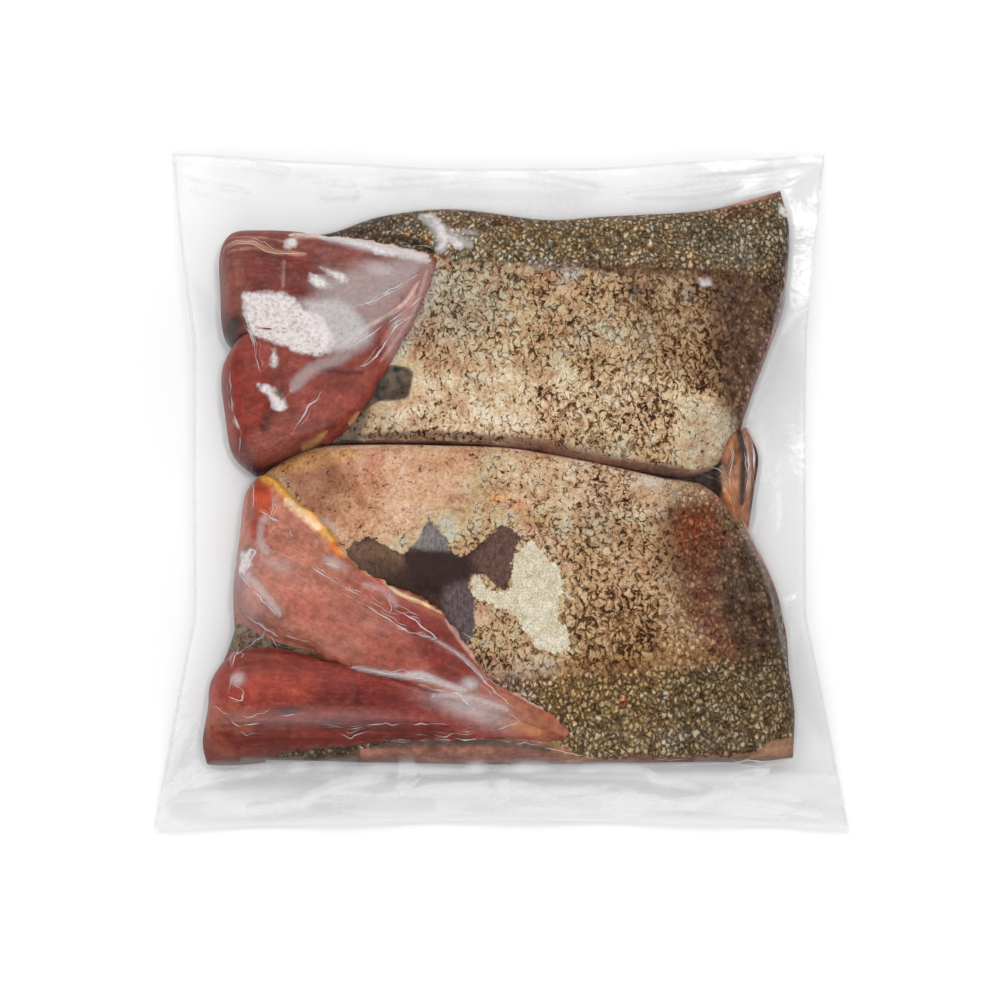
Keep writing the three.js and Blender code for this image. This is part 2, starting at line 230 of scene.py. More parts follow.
LOWER_SKIN_MARKS = [
    Area([(-104, 10), (-20, 14), (-14, -6), (-40, -26), (-70, -38), (-92, -10)], 12, 0.8, "cc9674"),
    Area([(-98, 2), (-78, 8), (-66, -4), (-70, -22), (-84, -18)], 7, 0.85, "92533a"),
    Stroke([(-66, 6), (-64, -8), (-58, -20)], 4, 0.7, "a8654a"),
    Stroke([(-76, 9), (-75, -4), (-78, -14)], 3, 0.6, "8a5440"),
    Area([(-104, 12), (-70, 13), (-64, 6), (-98, -2)], 4, 0.55, "cf9350"),
    Spot(-57, 2, 5, 12, 0.2, 0.7, "b96a50"),
    Spot(-70, -14, 6, 6, 0.0, 0.5, "d0a57c"),
    Spot(-49, -6, 5, 12, 0.0, 0.6, "d9a888"),
    Spot(-44, -22, 10, 7, 0.3, 0.7, "dab296"),
    Spot(-64, -22, 7, 5, 0.5, 0.6, "c58f68"),
    Stroke([(-100, 9), (-60, 12), (-22, 11.5), (4, 10.6), (24, 7.5), (46, 3), (68, -2)], 2.2, 0.8,
           "e0b497"),
    Area([(44, -20), (84, -14), (96, -86), (40, -84)], 24, 0.4, "ae8860"),
    Area([(68, -6), (96, -14), (112, -46), (118, -86), (92, -86), (74, -44)], 14, 0.92, "733f29"),
    Area([(96, -36), (114, -40), (124, -76), (108, -92), (96, -66)], 9, 0.85, "473529"),
    Stroke([(98, -14), (112, -40), (121, -64), (126, -98), (127, -118)], 9, 0.7, "57473a"),
    Spot(84, -26, 7, 14, -0.3, 0.9, "8c4524"),
    Spot(76, -44, 8, 14, 0.0, 0.5, "74502f"),
    Area([(60, -1), (90, -6), (88, -15), (62, -14)], 5, 0.6, "c0aa88"),
    Stroke([(86, -4), (93, -8), (105, -19), (112, -29), (119, -45), (124, -56)], 3.4, 0.95, "b98a78"),
    # painted film sheen: a grey streak along the lower fillet's right edge
    Stroke([(119, -62), (123, -79), (126, -100)], 1.4, 0.6, "77706a"),
    Stroke([(34, -130), (60, -130), (86, -129), (112, -126)], 3.4, 0.95, "6e3e32"),
    Area([(60, -66), (20, -88), (10, -100), (30, -106), (70, -96), (84, -80)], 12, 0.5, "a98350"),
    Area([(20, -98), (60, -94), (66, -124), (20, -126)], 10, 0.5, "92794c"),
    Area([(76, -92), (128, -88), (128, -126), (76, -126)], 10, 0.55, "746347"),
    Stroke([(-5, -15), (0, -14), (5, -12)], 2.2, 0.95, "dc8f3c"),
    Spot(8, -17, 4.5, 3, -0.2, 0.85, "cf7440"),
    Spot(14, -24, 10, 4, -0.3, 0.45, "b98a5c"),
    Spot(53, -106, 1.6, 2, 0.0, 0.95, "b8562e"),
    Spot(42, -20, 8, 14, 0.1, 0.45, "a59c90"),
    Spot(56, -20, 12, 5, 0.0, 0.5, "d3c9ae"),
    Spot(48, -62, 10, 8, 0.5, 0.45, "cfb592"),
    Area([(30, -40), (60, -36), (66, -66), (40, -80), (28, -70)], 10, 0.4, "c69f76"),
    Area([(0, 8), (46, 2), (70, -4), (70, -20), (0, -16)], 7, 0.4, "dfbb9b"),
    Stroke([(24, -91), (60, -89), (96, -86)], 5, 0.7, "855a28"),
    Area([(-16, -84), (10, -88), (26, -90), (6, -106), (-10, -98)], 7, 0.6, "9d8474"),
    Stroke([(2, -38), (8, -32), (17, -31), (26, -38), (31, -50)], 5, 0.7, "d0a88c"),
    Area([(-10, -63), (-5, -64), (-4, -71), (-11, -72)], 1.5, 0.85, "c79f83"),
    Area([(-118, -62), (-103, -74), (-82, -80), (-58, -88), (-58, -95), (-82, -90), (-102, -87),
          (-118, -86)], 3, 0.85, "4b443a"),
    Stroke([(-114, -76), (-104, -77), (-94, -80)], 2, 0.7, "7c5a2e"),
    Stroke([(-60, -124), (-30, -122.5), (0, -123), (22, -126)], 3.4, 0.9, "4f4038"),
    Area([(-98, -122), (-62, -122), (-62, -131), (-98, -131)], 2, 0.75, "3b3120"),
    Stroke([(-60, -128.5), (-30, -128), (0, -128), (30, -129)], 2.6, 0.9, "785247"),
]
TORN_MARKS = [
    Area([(-40, -37), (-31, -24), (-20, -38), (-30, -39)], 2.5, 0.9, "877e7c"),
    Area([(-68, -34), (-46, -36), (-42, -46), (-56, -52), (-70, -44)], 4, 0.8, "7f5e48"),
    Area([(-64, -42), (-44, -44), (-34, -56), (-56, -58)], 4, 0.5, "33211c"),
    Area([(-42, -40), (-18, -40), (-14, -54), (-34, -58)], 4, 0.9, "34201e"),
    Area([(-24, -56), (-12, -54), (-8, -80), (-24, -82)], 5, 0.85, "6d5c5e"),
    Area([(-12, -42), (2, -26), (8, -32), (4, -54), (-4, -54)], 4, 0.9, "6c4f44"),
]

# Where the skin's cracks are wider or narrower than usual, and where the scales are finer
UPPER_CRACKS = [
    Area([(-90, 8), (-50, 18), (14, 20), (6, 40), (-30, 60), (-60, 30)], 16, -0.4),
    Area([(-60, 50), (-37, 48), (-38, 30), (-60, 28)], 3, -1.0),
    Area([(80, 34), (104, 30), (108, 4), (80, 2)], 8, -0.6),
    Area([(50, 90), (100, 86), (110, 40), (60, 30)], 20, 0.25),
    Stroke([(6, 14), (24, 10), (44, 5), (66, 1), (84, 0)], 4, -0.8),
    Spot(7, 40, 8, 5, 0.2, -0.6),
    Spot(27, 43, 7, 5, 0.2, -0.5),
]
LOWER_CRACKS = [
    Area([(-110, 14), (-24, 16), (-20, -30), (-70, -44)], 26, -0.85),
    Area([(-26, 16), (30, 12), (34, -20), (10, -26), (-26, -20)], 18, -0.45),
    Area([(30, -66), (60, -60), (84, -70), (60, -88), (26, -86)], 14, 0.5),
    Area([(60, 0), (94, -4), (92, -16), (60, -14)], 6, -0.5),
    Area([(-10, -63), (-5, -64), (-4, -71), (-11, -72)], 1.5, -1.0),
    Stroke([(86, -4), (93, -8), (105, -19), (112, -29), (119, -45), (124, -56)], 4, -1.0),
]
UPPER_FINE = [Area([(96, 96), (134, 110), (136, 60), (110, 10), (100, 34)], 16, 1.0)]
LOWER_FINE = [Area([(74, -8), (98, -8), (134, -60), (134, -132), (60, -132), (76, -60)], 16, 1.0)]

# Height marks: how the flesh folds and the skin swells
UPPER_BELLY_FOLDS = [
    Stroke([(-94, 34), (-99, 26), (-104, 14)], 4, -1.8),
    Stroke([(-84, 48), (-68, 46), (-58, 52)], 6, -1.2),
    Stroke([(-70, 58), (-56, 62), (-44, 76)], 6, 1.2),
    Stroke([(-102, 55), (-98, 40), (-96, 30)], 6, 1.2),
]
UPPER_BACK_FOLDS = [
    Stroke([(-124, 98), (-100, 96), (-80, 92)], 5, -0.9),
    Stroke([(-112, 84), (-96, 82), (-74, 80)], 8, 0.8),
    Stroke([(-92, 104), (-70, 101), (-46, 95)], 4, 0.9),
]
LOWER_BELLY_FOLDS = [
    Stroke([(-104, -8), (-100, -20), (-101, -30)], 6, -1.6),
    Stroke([(-99, -40), (-80, -51), (-62, -59), (-46, -69), (-28, -78)], 4, -1.0),
    Stroke([(-110, -50), (-98, -62), (-92, -70)], 5, 1.0),
    Stroke([(-56, -55), (-50, -61), (-47, -68)], 3, -0.7),
]
LOWER_BACK_FOLDS = [
    Stroke([(-124, -117), (-100, -114), (-76, -115), (-48, -117), (-22, -117)], 3, -1.6),
    Stroke([(-100, -110), (-70, -111), (-50, -112)], 2.5, -0.6),
    Stroke([(-118, -100), (-90, -99), (-60, -104)], 8, 1.0),
]

UPPER_BACK_LOBE_MARKS = [
    Area([(-128, 118), (-90, 114), (-66, 106), (-80, 100), (-128, 98)], 5, 0.8, "7e4038"),
    Area([(-112, 94), (-84, 94), (-78, 76), (-112, 76)], 8, 0.85, "702a22"),
    Stroke([(-128, 92), (-127, 78), (-124, 66), (-118, 58)], 6, 0.8, "5c2a26"),
    Stroke([(-124, 98), (-112, 100), (-100, 96), (-86, 95)], 1.6, 0.7, "c08f72"),
    Stroke([(-122, 95), (-108, 97), (-96, 94)], 1.0, 0.6, "b9876c"),
    Stroke([(-120, 102), (-104, 102), (-90, 98)], 0.9, 0.6, "b9877a"),
    Stroke([(-94, 104), (-78, 106), (-62, 103), (-46, 100), (-32, 96)], 4, 0.85, "dcc0b0"),
    Stroke([(-80, 96), (-66, 98), (-52, 96)], 4, 0.7, "7c4a46"),
    Area([(-82, 90), (-50, 92), (-32, 92), (-50, 74), (-76, 70)], 8, 0.6, "8e6a66"),
    Stroke([(-38, 84), (-50, 72), (-60, 64)], 2.6, 0.85, "7e4634"),
    Spot(-118, 61, 6, 4, 0.3, 0.95, "2a251c"),
    Stroke([(-96, 92), (-96, 84), (-96, 78)], 1.2, 0.6, "b08478"),
]
UPPER_BELLY_LOBE_MARKS = [
    Area([(-120, 46), (-106, 52), (-100, 24), (-114, 12)], 5, 0.9, "862e22"),
    Area([(-104, 52), (-84, 50), (-80, 36), (-96, 30)], 6, 0.7, "8a3f34"),
    # painted shade in the fold's valley
    Stroke([(-95, 33), (-100, 24), (-105, 14)], 2.6, 0.75, "431d18"),
    Area([(-86, 38), (-62, 42), (-56, 36), (-70, 20), (-92, 14)], 8, 0.8, "8f4338"),
    Area([(-72, 34), (-60, 38), (-56, 30), (-66, 22)], 4, 0.6, "8f4034"),
    Area([(-110, 12), (-90, 22), (-74, 18), (-92, 6), (-108, 0)], 6, 0.75, "84453c"),
    Stroke([(-32, 91), (-38, 71), (-46, 57), (-53, 47)], 1.4, 0.6, "b98a7c"),
    Stroke([(-48, 45), (-53, 38), (-55, 35)], 1.2, 0.85, "cdb07f"),
    Stroke([(-62, 26), (-65, 22), (-67, 20)], 1.0, 0.8, "d0a570"),
    Stroke([(-76, 15.5), (-82, 12), (-88, 9.5)], 1.0, 0.7, "c99f68"),
    Stroke([(-38, 78), (-44, 66), (-52, 54)], 3.4, 0.7, "a5665a"),
    Stroke([(-36, 84), (-44, 72), (-58, 62), (-72, 52)], 1.4, 0.7, "cfae9c"),
    # painted shade along a fold's valley
    Stroke([(-78, 42), (-70, 41), (-60, 42)], 1.6, 0.8, "4a1f19"),
    Spot(-119, 57, 6, 4, 0.3, 0.95, "2a251c"),
    Stroke([(-116, 12), (-110, 2), (-104, -2)], 3, 0.7, "5c3a3e"),
]
LOWER_BELLY_LOBE_MARKS = [
    Area([(-118, -20), (-96, -30), (-60, -62), (-50, -84), (-100, -82)], 10, 0.85, "b06e5c"),
    Area([(-102, -10), (-84, -22), (-62, -46), (-76, -52), (-102, -36)], 8, 0.85, "b8735c"),
    Area([(-110, -2), (-102, -4), (-100, -24), (-107, -24)], 1.6, 0.95, "b04424"),
    Area([(-109, -26), (-101, -29), (-102, -37), (-108, -35)], 1.6, 0.9, "a33a22"),
    Stroke([(-112, -4), (-113, -20), (-115, -34)], 3, 0.8, "bd8068"),
    Spot(-112, -46, 6, 10, 0.2, 0.7, "a98084"),
    Spot(-104, -70, 12, 6, -0.4, 0.6, "84504a"),
    Area([(-94, -60), (-66, -64), (-56, -78), (-84, -76)], 8, 0.6, "a8584a"),
    Area([(-60, -76), (-40, -78), (-34, -92), (-56, -90)], 6, 0.6, "98483a"),
    # painted shade: darker red along the lobe's right side
    Area([(-50, -62), (-28, -70), (-6, -96), (-26, -96)], 6, 0.95, "7a2a22"),
    Spot(-13, -106, 14, 4, -0.4, 0.6, "b4796c"),
    Area([(-6, -100), (16, -110), (30, -121), (10, -119)], 4, 0.9, "a4644a"),
    Stroke([(-74, -38), (-62, -46), (-46, -58)], 3.6, 0.8, "b8543f"),
    Stroke([(-106, -3), (-99, -7), (-89, -17), (-79, -27), (-71, -36)], 5.5, 1.0, "e3a548"),
    Stroke([(-94, -17), (-86, -24), (-78, -31)], 3.2, 0.8, "eec9a4"),
    Stroke([(-74, -37), (-67, -43)], 3.4, 0.9, "d8772c"),
    Stroke([(-70, -38), (-62, -45), (-55, -51)], 2.6, 0.9, "dcae80"),
    Stroke([(-68, -40), (-60, -47), (-52, -52), (-44, -59), (-34, -63), (-25, -68)], 1.3, 0.95, "e0c08c"),
    Stroke([(-24, -70), (-12, -86), (0, -98), (20, -110)], 1.6, 0.8, "cfa898"),
]
LOWER_BACK_LOBE_MARKS = [
    Area([(-124, -92), (-60, -96), (-20, -108), (-40, -114), (-120, -112)], 7, 0.9, "93392e"),
    Area([(-104, -94), (-76, -98), (-80, -106), (-106, -104)], 6, 0.7, "a6493b"),
    Area([(-76, -98), (-30, -104), (-36, -112), (-78, -111)], 14, 0.85, "662422"),
    Area([(-126, -116), (-60, -114), (-20, -118), (-40, -124), (-126, -130)], 4, 0.95, "651f14"),
    Area([(-128, -106), (-116, -106), (-104, -116), (-110, -120), (-128, -118)], 3, 0.6, "9a503a"),
    Area([(-130, -120), (-120, -120), (-114, -128), (-130, -134)], 3, 0.6, "8c4633"),
    Spot(-90, -111, 7, 2, 0.1, 0.85, "35251a"),
    Spot(-20, -106, 16, 6, -0.2, 0.8, "94706c"),
    Spot(-4, -113, 14, 5, -0.3, 0.7, "a88480"),
    Spot(12, -117, 10, 3, -0.3, 0.85, "c07e50"),
    # painted shade in the roll's fold valley
    Stroke([(-120, -117), (-96, -116), (-70, -117), (-40, -118)], 1.4, 0.6, "4a2018"),
]
BELLY_STRIP_MARKS = [
    # painted shade: dark flesh filling the gap where the fillets part
    Area([(84, 3), (98, 6), (99, -6), (96, -12), (84, -6)], 3, 0.95, "2f2624"),
    Stroke([(102, 16), (103.5, 10), (104, 4)], 3.4, 0.95, "b0733f"),
    Stroke([(99.5, 0), (101, -8), (104, -20)], 3.6, 0.9, "c27f4c"),
    Stroke([(98, 3), (99.5, -3), (99, -10)], 1.6, 0.8, "c9a88c"),
    # painted shade in the gap between the strip's strands
    Stroke([(106.5, 20), (108, 4), (106.5, -16)], 2.6, 0.95, "35302e"),
    Stroke([(109, 16), (111, 4), (110, -10)], 0.9, 0.8, "c8b4a4"),
    Stroke([(113.5, 14), (114, 2), (111, -20)], 2.6, 0.9, "5b2f2a"),
]

# The film, over the fish: crisp frosty and painted glare patches, hazy places with painted sheen and
# glints, and creases where it bridges a fold
FROST_AND_GLARE = [
    [(-114, 75), (-105, 76), (-94, 75), (-87, 70), (-78, 64), (-73, 56), (-78, 49), (-86, 47), (-93, 49),
     (-99, 52), (-106, 55), (-111, 62)],
    [(-85, 86), (-78, 84), (-74, 78), (-82, 79)],
    [(-80, 89), (-71, 87), (-66, 81), (-74, 84)],
    [(-106, 33), (-101, 33), (-94, 24), (-99, 24), (-103, 29)],
    [(-101, 50), (-98, 50), (-98, 42), (-101, 43)],
    [(-96, 101), (-91, 102), (-91, 99), (-95, 98)],
    [(-70, 103), (-60, 101.5), (-48, 98), (-42, 96.5), (-50, 96), (-60, 99)],
    [(-113, -41), (-107, -41), (-109, -49), (-114, -50)],
    [(-35, 119), (-31, 115), (-28, 110), (-27, 104), (-28, 99), (-25, 100), (-22, 104), (-24, 109),
     (-28, 116)],
    [(-28, 112), (-22, 107), (-18, 103), (-16, 100), (-20, 101), (-25, 106)],
    [(126, 125), (131, 125), (131, 121), (127, 121)],
    [(89, 86), (94, 86), (94, 83), (90, 82)],
]
GLARE_AND_HAZE_MARKS = [
    Area([(-84, 74), (-76, 84), (-60, 90), (-45, 95), (-34, 94), (-40, 80), (-50, 66), (-66, 52),
          (-76, 52)], 8, 0.36),
    Area([(-88, 72), (-72, 75), (-60, 66), (-58, 55), (-76, 50)], 8, 0.8),
    Spot(-53, 89, 10, 4, -0.15, 0.6),
    Spot(-74, 81, 9, 4, 0.2, 0.5),
    Stroke([(-82, 105), (-72, 103.5), (-60, 100.5), (-50, 98), (-40, 96), (-31, 93.5)], 4.2, 0.85),
    Stroke([(-92, 31), (-86, 38), (-80, 43), (-70, 48), (-62, 56)], 4.5, 0.4),
    Area([(-31, 93), (-37, 92), (-48, 72), (-50, 48), (-42, 50), (-34, 64), (-26, 84)], 4, 0.2),
    Stroke([(-36, 119), (-30, 112), (-26, 104), (-27, 98)], 4, 0.6),
    Stroke([(-30, 114), (-20, 106), (-12, 101)], 3.5, 0.5),
    Stroke([(-28, 104), (-18, 108), (-10, 108)], 2.5, 0.35),
    Area([(-126, 100), (-100, 104), (-72, 92), (-96, 60), (-118, 60)], 6, 0.012),
    Area([(-112, 50), (-70, 54), (-54, 40), (-84, 10), (-112, 4)], 6, 0.012),
    Area([(-112, -14), (-84, -24), (-40, -60), (0, -104), (-60, -90), (-112, -66)], 6, 0.012),
    Stroke([(-111, -51), (-106, -56), (-100, -63), (-94, -71)], 2.8, 0.5),
    Spot(-110, -60, 8, 18, 0.3, 0.22),
    Spot(-13, -99, 4, 3, 0.0, 0.7),
    Spot(-112, -98, 3, 3, 0.0, 0.6),
    Spot(-12, -108, 16, 6, -0.25, 0.42),
    Stroke([(-27, -80), (-18, -86), (-12, -91), (-6, -98)], 1.3, 0.5),
    Stroke([(-64, -92), (-48, -95), (-34, -97), (-22, -100)], 1.5, 0.6),
    Stroke([(-42, -96), (-34, -95), (-24, -99), (-14, -102)], 2.4, 0.7),
    Stroke([(-30, -104), (-18, -104), (-8, -106), (4, -110)], 2.0, 0.6),
    Stroke([(-36, -76), (-24, -82), (-14, -88)], 1.0, 0.45),
    Spot(-76, -27, 5, 3, -0.6, 0.4),
    Stroke([(-102, -24), (-104, -36), (-100, -44)], 3, 0.4),
    Spot(-72, -46, 5, 2.5, -0.4, 0.5),
    Spot(-96, -48, 8, 4, -0.3, 0.3),
    Stroke([(106, -26), (113, -40), (120, -62), (124, -86)], 1.6, 0.2),
    Stroke([(112, 26), (122, 56), (128, 84)], 3, 0.25),
    Stroke([(-60, -55), (-50, -58), (-44, -66)], 2.5, 0.3),
    Spot(66, -5, 7, 3, -0.2, 0.4),
    Spot(-84, -114, 40, 3, 0.0, 0.15),
]
UPPER_FLAP_CREASES = [
    [(-113, 71), (-112, 64), (-109, 55), (-107, 46), (-105, 37)], [(-119, 41), (-118, 25), (-115, 15)],
    [(-117, 22), (-114, 12), (-116, 5)], [(-74, 105), (-57, 103), (-44, 99), (-31, 96)],
    [(-60, 46), (-48, 60), (-36, 70)], [(-70, 50), (-52, 62), (-33, 78)],
    [(-58, 74), (-48, 80), (-36, 88)], [(-66, 70), (-52, 76), (-40, 84)],
    [(-62, 44), (-54, 50), (-44, 66)], [(-92, 12), (-86, 22), (-78, 32)],
    [(-124, 96), (-112, 99), (-100, 95), (-86, 96)], [(-98, 92), (-97, 80)], [(-44, 102), (-31, 101)],
]
LOWER_FLAP_CREASES = [
    [(-109, -3), (-108, -15), (-107, -21), (-101, -25), (-95, -28), (-92, -31), (-90, -35)],
    [(-100, -9), (-99, -18), (-100, -27), (-102, -35), (-101, -40), (-94, -43), (-88, -45), (-79, -50),
     (-69, -56), (-61, -60), (-54, -64), (-47, -68), (-38, -68), (-34, -70)],
    [(-61, -54), (-56, -56), (-50, -60), (-47, -65), (-48, -68)], [(-98, -13), (-93, -16), (-89, -21)],
    [(-78, -46), (-69, -48)], [(-58, -52), (-48, -56), (-40, -62), (-34, -64)],
    [(-72, -58), (-60, -64), (-50, -70), (-40, -76), (-30, -79)],
    [(-113, -50), (-108, -57), (-101, -65), (-95, -72)], [(-112, -41), (-106, -42), (-110, -50)],
    [(-26, -81), (-18, -86), (-13, -91), (-8, -96), (-2, -102), (8, -110)],
    [(-46, -66), (-36, -72), (-26, -80)],
]
SEAM_CREASES = [
    [(-112, -64), (-108, -70), (-101, -75), (-95, -78), (-82, -81)],
    [(-101, -75), (-108, -82), (-113, -86), (-114, -93), (-115, -100), (-116, -104)],
    [(-114, -75), (-113, -84), (-115, -93)], [(-116, -105), (-111, -107), (-110, -103), (-115, -100)],
    [(-66, -92), (-56, -93), (-47, -95), (-38, -96), (-30, -98), (-23, -100), (-15, -103)],
    [(-36, -99), (-26, -102), (-18, -103), (-13, -108), (0, -109), (9, -115)],
    [(-124, -108), (-116, -113), (-113, -117), (-101, -116), (-94, -113), (-77, -113)],
    [(-77, -116), (-64, -118), (-54, -116), (-46, -116), (-32, -116), (-24, -116), (-18, -119)],
    [(-32, -120), (-24, -121), (-16, -119), (0, -118), (9, -114)],
    [(-52, -122), (-30, -122), (0, -122), (21, -125), (43, -129)], [(-17, -76), (-9, -79), (4, -83)],
    [(101, 18), (103.5, 8), (101.5, -4), (104, -16)], [(107.5, 18), (110.5, 4), (108, -12)],
    [(94, 3), (99, -1), (103, -8)], [(88, 0), (97, -4), (100, -10)], [(110, 22), (113, 8), (112, -14)],
    [(104, -18), (111, -28), (118, -44), (123, -58)], [(122, -60), (126, -76), (126.5, -92)],
    [(111, 26), (118, 44), (126, 68)], [(127, 76), (130, 96), (130.5, 112)],
    [(126, 66), (130, 80), (129, 92)],
    [(70, -131), (92, -130), (124, -128)], [(96, -129), (112, -131), (126, -129)],
]

# The rim: raised folds, and painted grey shade in places
RIM_FOLDS = [
    Stroke([(-149, -147), (-140, -139), (-131, -131)], 2.0, 1.6),
    Stroke([(-147, -145), (-134, -139), (-123, -136), (-103, -133), (-78, -131.5), (-40, -132.5),
            (0, -132), (40, -132), (61, -133), (69, -137), (89, -140)], 1.8, 1.5),
    Stroke([(-110, -149), (-97, -147), (-86, -145), (-76, -141), (-67, -138), (-48, -136)], 2.2, 1.5),
    Stroke([(-44, -137), (-36, -137)], 5, 1.6),
    Stroke([(-36, -141), (-14, -141), (-4, -139), (13, -141), (26, -145), (43, -144), (52, -142)], 2.2,
           1.4),
    Stroke([(60, -143), (82, -147), (93, -144), (99, -142), (102, -136), (117, -133)], 2.0, 1.5),
    Stroke([(108, -146), (125, -148), (145, -154)], 1.8, 1.4),
    Stroke([(112, -139), (121, -142), (130, -144)], 2.0, 1.2),
    Stroke([(-73, -141), (-52, -143), (-26, -140), (0, -141)], 1.5, 0.9),
    Stroke([(-3, -142), (4, -142)], 3.5, 1.5),
    Stroke([(-149, 146), (-139, 142), (-128, 137), (-114, 134)], 2.0, 1.5),
    Stroke([(-135, 151), (-119, 149), (-96, 145)], 2.2, 1.5),
    Stroke([(-110, 143), (-91, 141), (-73, 138), (-66, 137)], 1.6, 1.4),
    Stroke([(-84, 132.5), (-64, 132.5)], 3.0, 1.5),
    Stroke([(-64, 137), (-37, 139), (0, 142), (27, 139), (46, 135)], 3.2, 1.5),
    Stroke([(55, 134), (78, 137), (91, 140), (110, 142), (133, 146), (146, 148)], 2.0, 1.5),
    Stroke([(126, 136), (137, 141), (147, 146)], 1.8, 1.4),
    Stroke([(-142, 137), (-135, 134), (-127, 132)], 1.8, 1.1),
    Stroke([(60, 132), (90, 133), (112, 138)], 2.0, 1.3),
    Stroke([(-150, -150), (-143, -130), (-133, -112)], 2.4, 1.2),
    Stroke([(131, 70), (134, 74), (140, 79)], 2.4, 1.8),
    Stroke([(128, 66), (132, 68)], 2.0, 1.2),
    Stroke([(117, 4), (120, -4), (125, -9), (124, -28)], 1.2, 0.8),
    Stroke([(126, -58), (130, -57)], 2.5, 0.9),
]
SHADE_MARKS = [
    Area([(-121, -137), (-87, -135), (-76, -137), (-76, -144), (-86, -144), (-119, -144)], 3, 0.55),
    Area([(-78, -144), (-30, -144), (-30, -150), (-80, -150)], 2.5, 0.6),
    Area([(47, -138), (86, -139), (89, -143), (60, -142), (48, -142)], 2.5, 0.6),
    Area([(-60, -133), (60, -134), (60, -138), (-60, -137)], 2, 0.4),
    Area([(-118, 147), (-30, 146), (-30, 141), (-110, 143)], 3, 0.4),
    Area([(-30, 136), (40, 134), (40, 130), (-30, 131)], 3, 0.35),
    Area([(60, 147), (130, 150), (120, 143), (70, 141)], 3, 0.35),
    Area([(126, 60), (136, 56), (134, 20), (122, 10), (118, 30)], 7, 0.5),
    Area([(132, -70), (138, -90), (144, -120), (134, -110), (128, -90)], 4, 0.45),
    Area([(-142, 96), (-134, 70), (-130, 66), (-130, 80)], 5, 0.35),
]


class PouchSettings(bpy.types.PropertyGroup):
    """What a user would change about the pouch."""

    scale_size: bpy.props.FloatProperty(
        name="Scale size", description="Width of one scale on a fillet's side", default=3.4 * MM,
        min=0.0005, max=0.01, subtype="DISTANCE", unit="LENGTH",
    )
    back_scale_size: bpy.props.FloatProperty(
        name="Back scale size", description="Width of one scale along a fillet's back", default=2.4 * MM,
        min=0.0005, max=0.01, subtype="DISTANCE", unit="LENGTH",
    )
    film_step: bpy.props.FloatProperty(
        name="Film step", description="Distance between the points of the front film", default=1.0 * MM,
        min=0.0005, max=0.01, subtype="DISTANCE", unit="LENGTH",
    )
    haze_and_glare: bpy.props.FloatProperty(
        name="Haze", description="How white the film's cloudy patches are", default=1.0, min=0.0, max=1.5,
        subtype="FACTOR",
    )
    floor_colour: bpy.props.FloatVectorProperty(
        name="Floor", description="Colour of the studio floor", default=(0.9, 0.9, 0.9), size=3,
        subtype="COLOR", min=0.0, max=1.0,
    )


# Curves, patches and marks

CURVE_STEPS = 16  # between two points of an outline


def ramp(value, start, end):
    """0 at start, 1 at end, and smooth between them."""
    t = np.clip((value - start) / (end - start), 0, 1)
    return t * t * (3 - 2 * t)


def mix(a, b, share):
    return a * (1 - share) + b * share


def bump(value, centre, spread):
    return np.exp(-(((value - centre) / spread) ** 2))


def smooth_line(points, steps=CURVE_STEPS):
    """Points along a smooth curve that passes through the given ones."""
    p = np.array([points[0], *points, points[-1]], float)
    t = np.linspace(0, 1, steps, endpoint=False)[:, None]
    stretches = []
    for before, a, b, after in zip(p, p[1:], p[2:], p[3:]):
        leaving, arriving = (b - before) / 2, (after - a) / 2
        stretches.append(
            (2 * a - 2 * b + leaving + arriving) * t ** 3
            + (3 * b - 3 * a - 2 * leaving - arriving) * t ** 2 + leaving * t + a
        )
    return np.vstack([*stretches, p[-1:]])


def edge_curve(points):
    """A function from the share of a curve's length to the place on it."""
    line = smooth_line(points)
    lengths = np.concatenate([[0], np.cumsum(np.linalg.norm(np.diff(line, axis=0), axis=1))])
    shares = lengths / lengths[-1]
    return lambda share: np.stack([np.interp(share, shares, line[:, k]) for k in range(2)], -1)


def patch_map(outline):
    """The smoothest sheet between an outline's four edges, as a function of u and v."""
    south, north, west, east = (edge_curve(outline[side]) for side in ("south", "north", "west", "east"))
    southwest, southeast = np.array(outline["south"][0]), np.array(outline["south"][-1])
    northwest, northeast = np.array(outline["north"][0]), np.array(outline["north"][-1])

    def place(u, v):
        across, along = v[:, None], u[:, None]
        edges = mix(south(u), north(u), across) + mix(west(v), east(v), along)
        corners = mix(mix(southwest, southeast, along), mix(northwest, northeast, along), across)
        return edges - corners

    return place


def rounded(t, start_share, end_share):
    """How full a slab is at t across it: 0 at its edges, 1 past the rounding."""
    first = np.sqrt(1 - (1 - np.clip(t / start_share, 0, 1)) ** 2)
    last = np.sqrt(1 - (1 - np.clip((1 - t) / end_share, 0, 1)) ** 2)
    return first * last


def lumps(x, y, size, seed):
    """Soft unevenness from -1 to 1, about size across."""
    cells = 97
    lattice = np.random.default_rng(seed).uniform(-1, 1, (cells, cells))
    gx, gy = x / size + cells / 2, y / size + cells / 2
    i, j = np.floor(gx).astype(int), np.floor(gy).astype(int)
    fx, fy = ramp(gx - i, 0, 1), ramp(gy - j, 0, 1)
    i, j = i % cells, j % cells
    i2, j2 = (i + 1) % cells, (j + 1) % cells
    return mix(mix(lattice[i, j], lattice[i2, j], fx), mix(lattice[i, j2], lattice[i2, j2], fx), fy)


def line_distance(line, x, y):
    """Distance of each place from a line of points, and how far along the line it is, 0 to 1."""
    nearest = np.full(x.shape, np.inf)
    along = np.zeros(x.shape)
    count = len(line) - 1
    for k, (a, b) in enumerate(zip(line, line[1:])):
        run = b - a
        t = np.clip(((x - a[0]) * run[0] + (y - a[1]) * run[1]) / max(run @ run, 1e-9), 0, 1)
        distance = np.hypot(x - a[0] - t * run[0], y - a[1] - t * run[1])
        closer = distance < nearest
        nearest[closer] = distance[closer]
        along[closer] = (k + t[closer]) / count
    return nearest, along


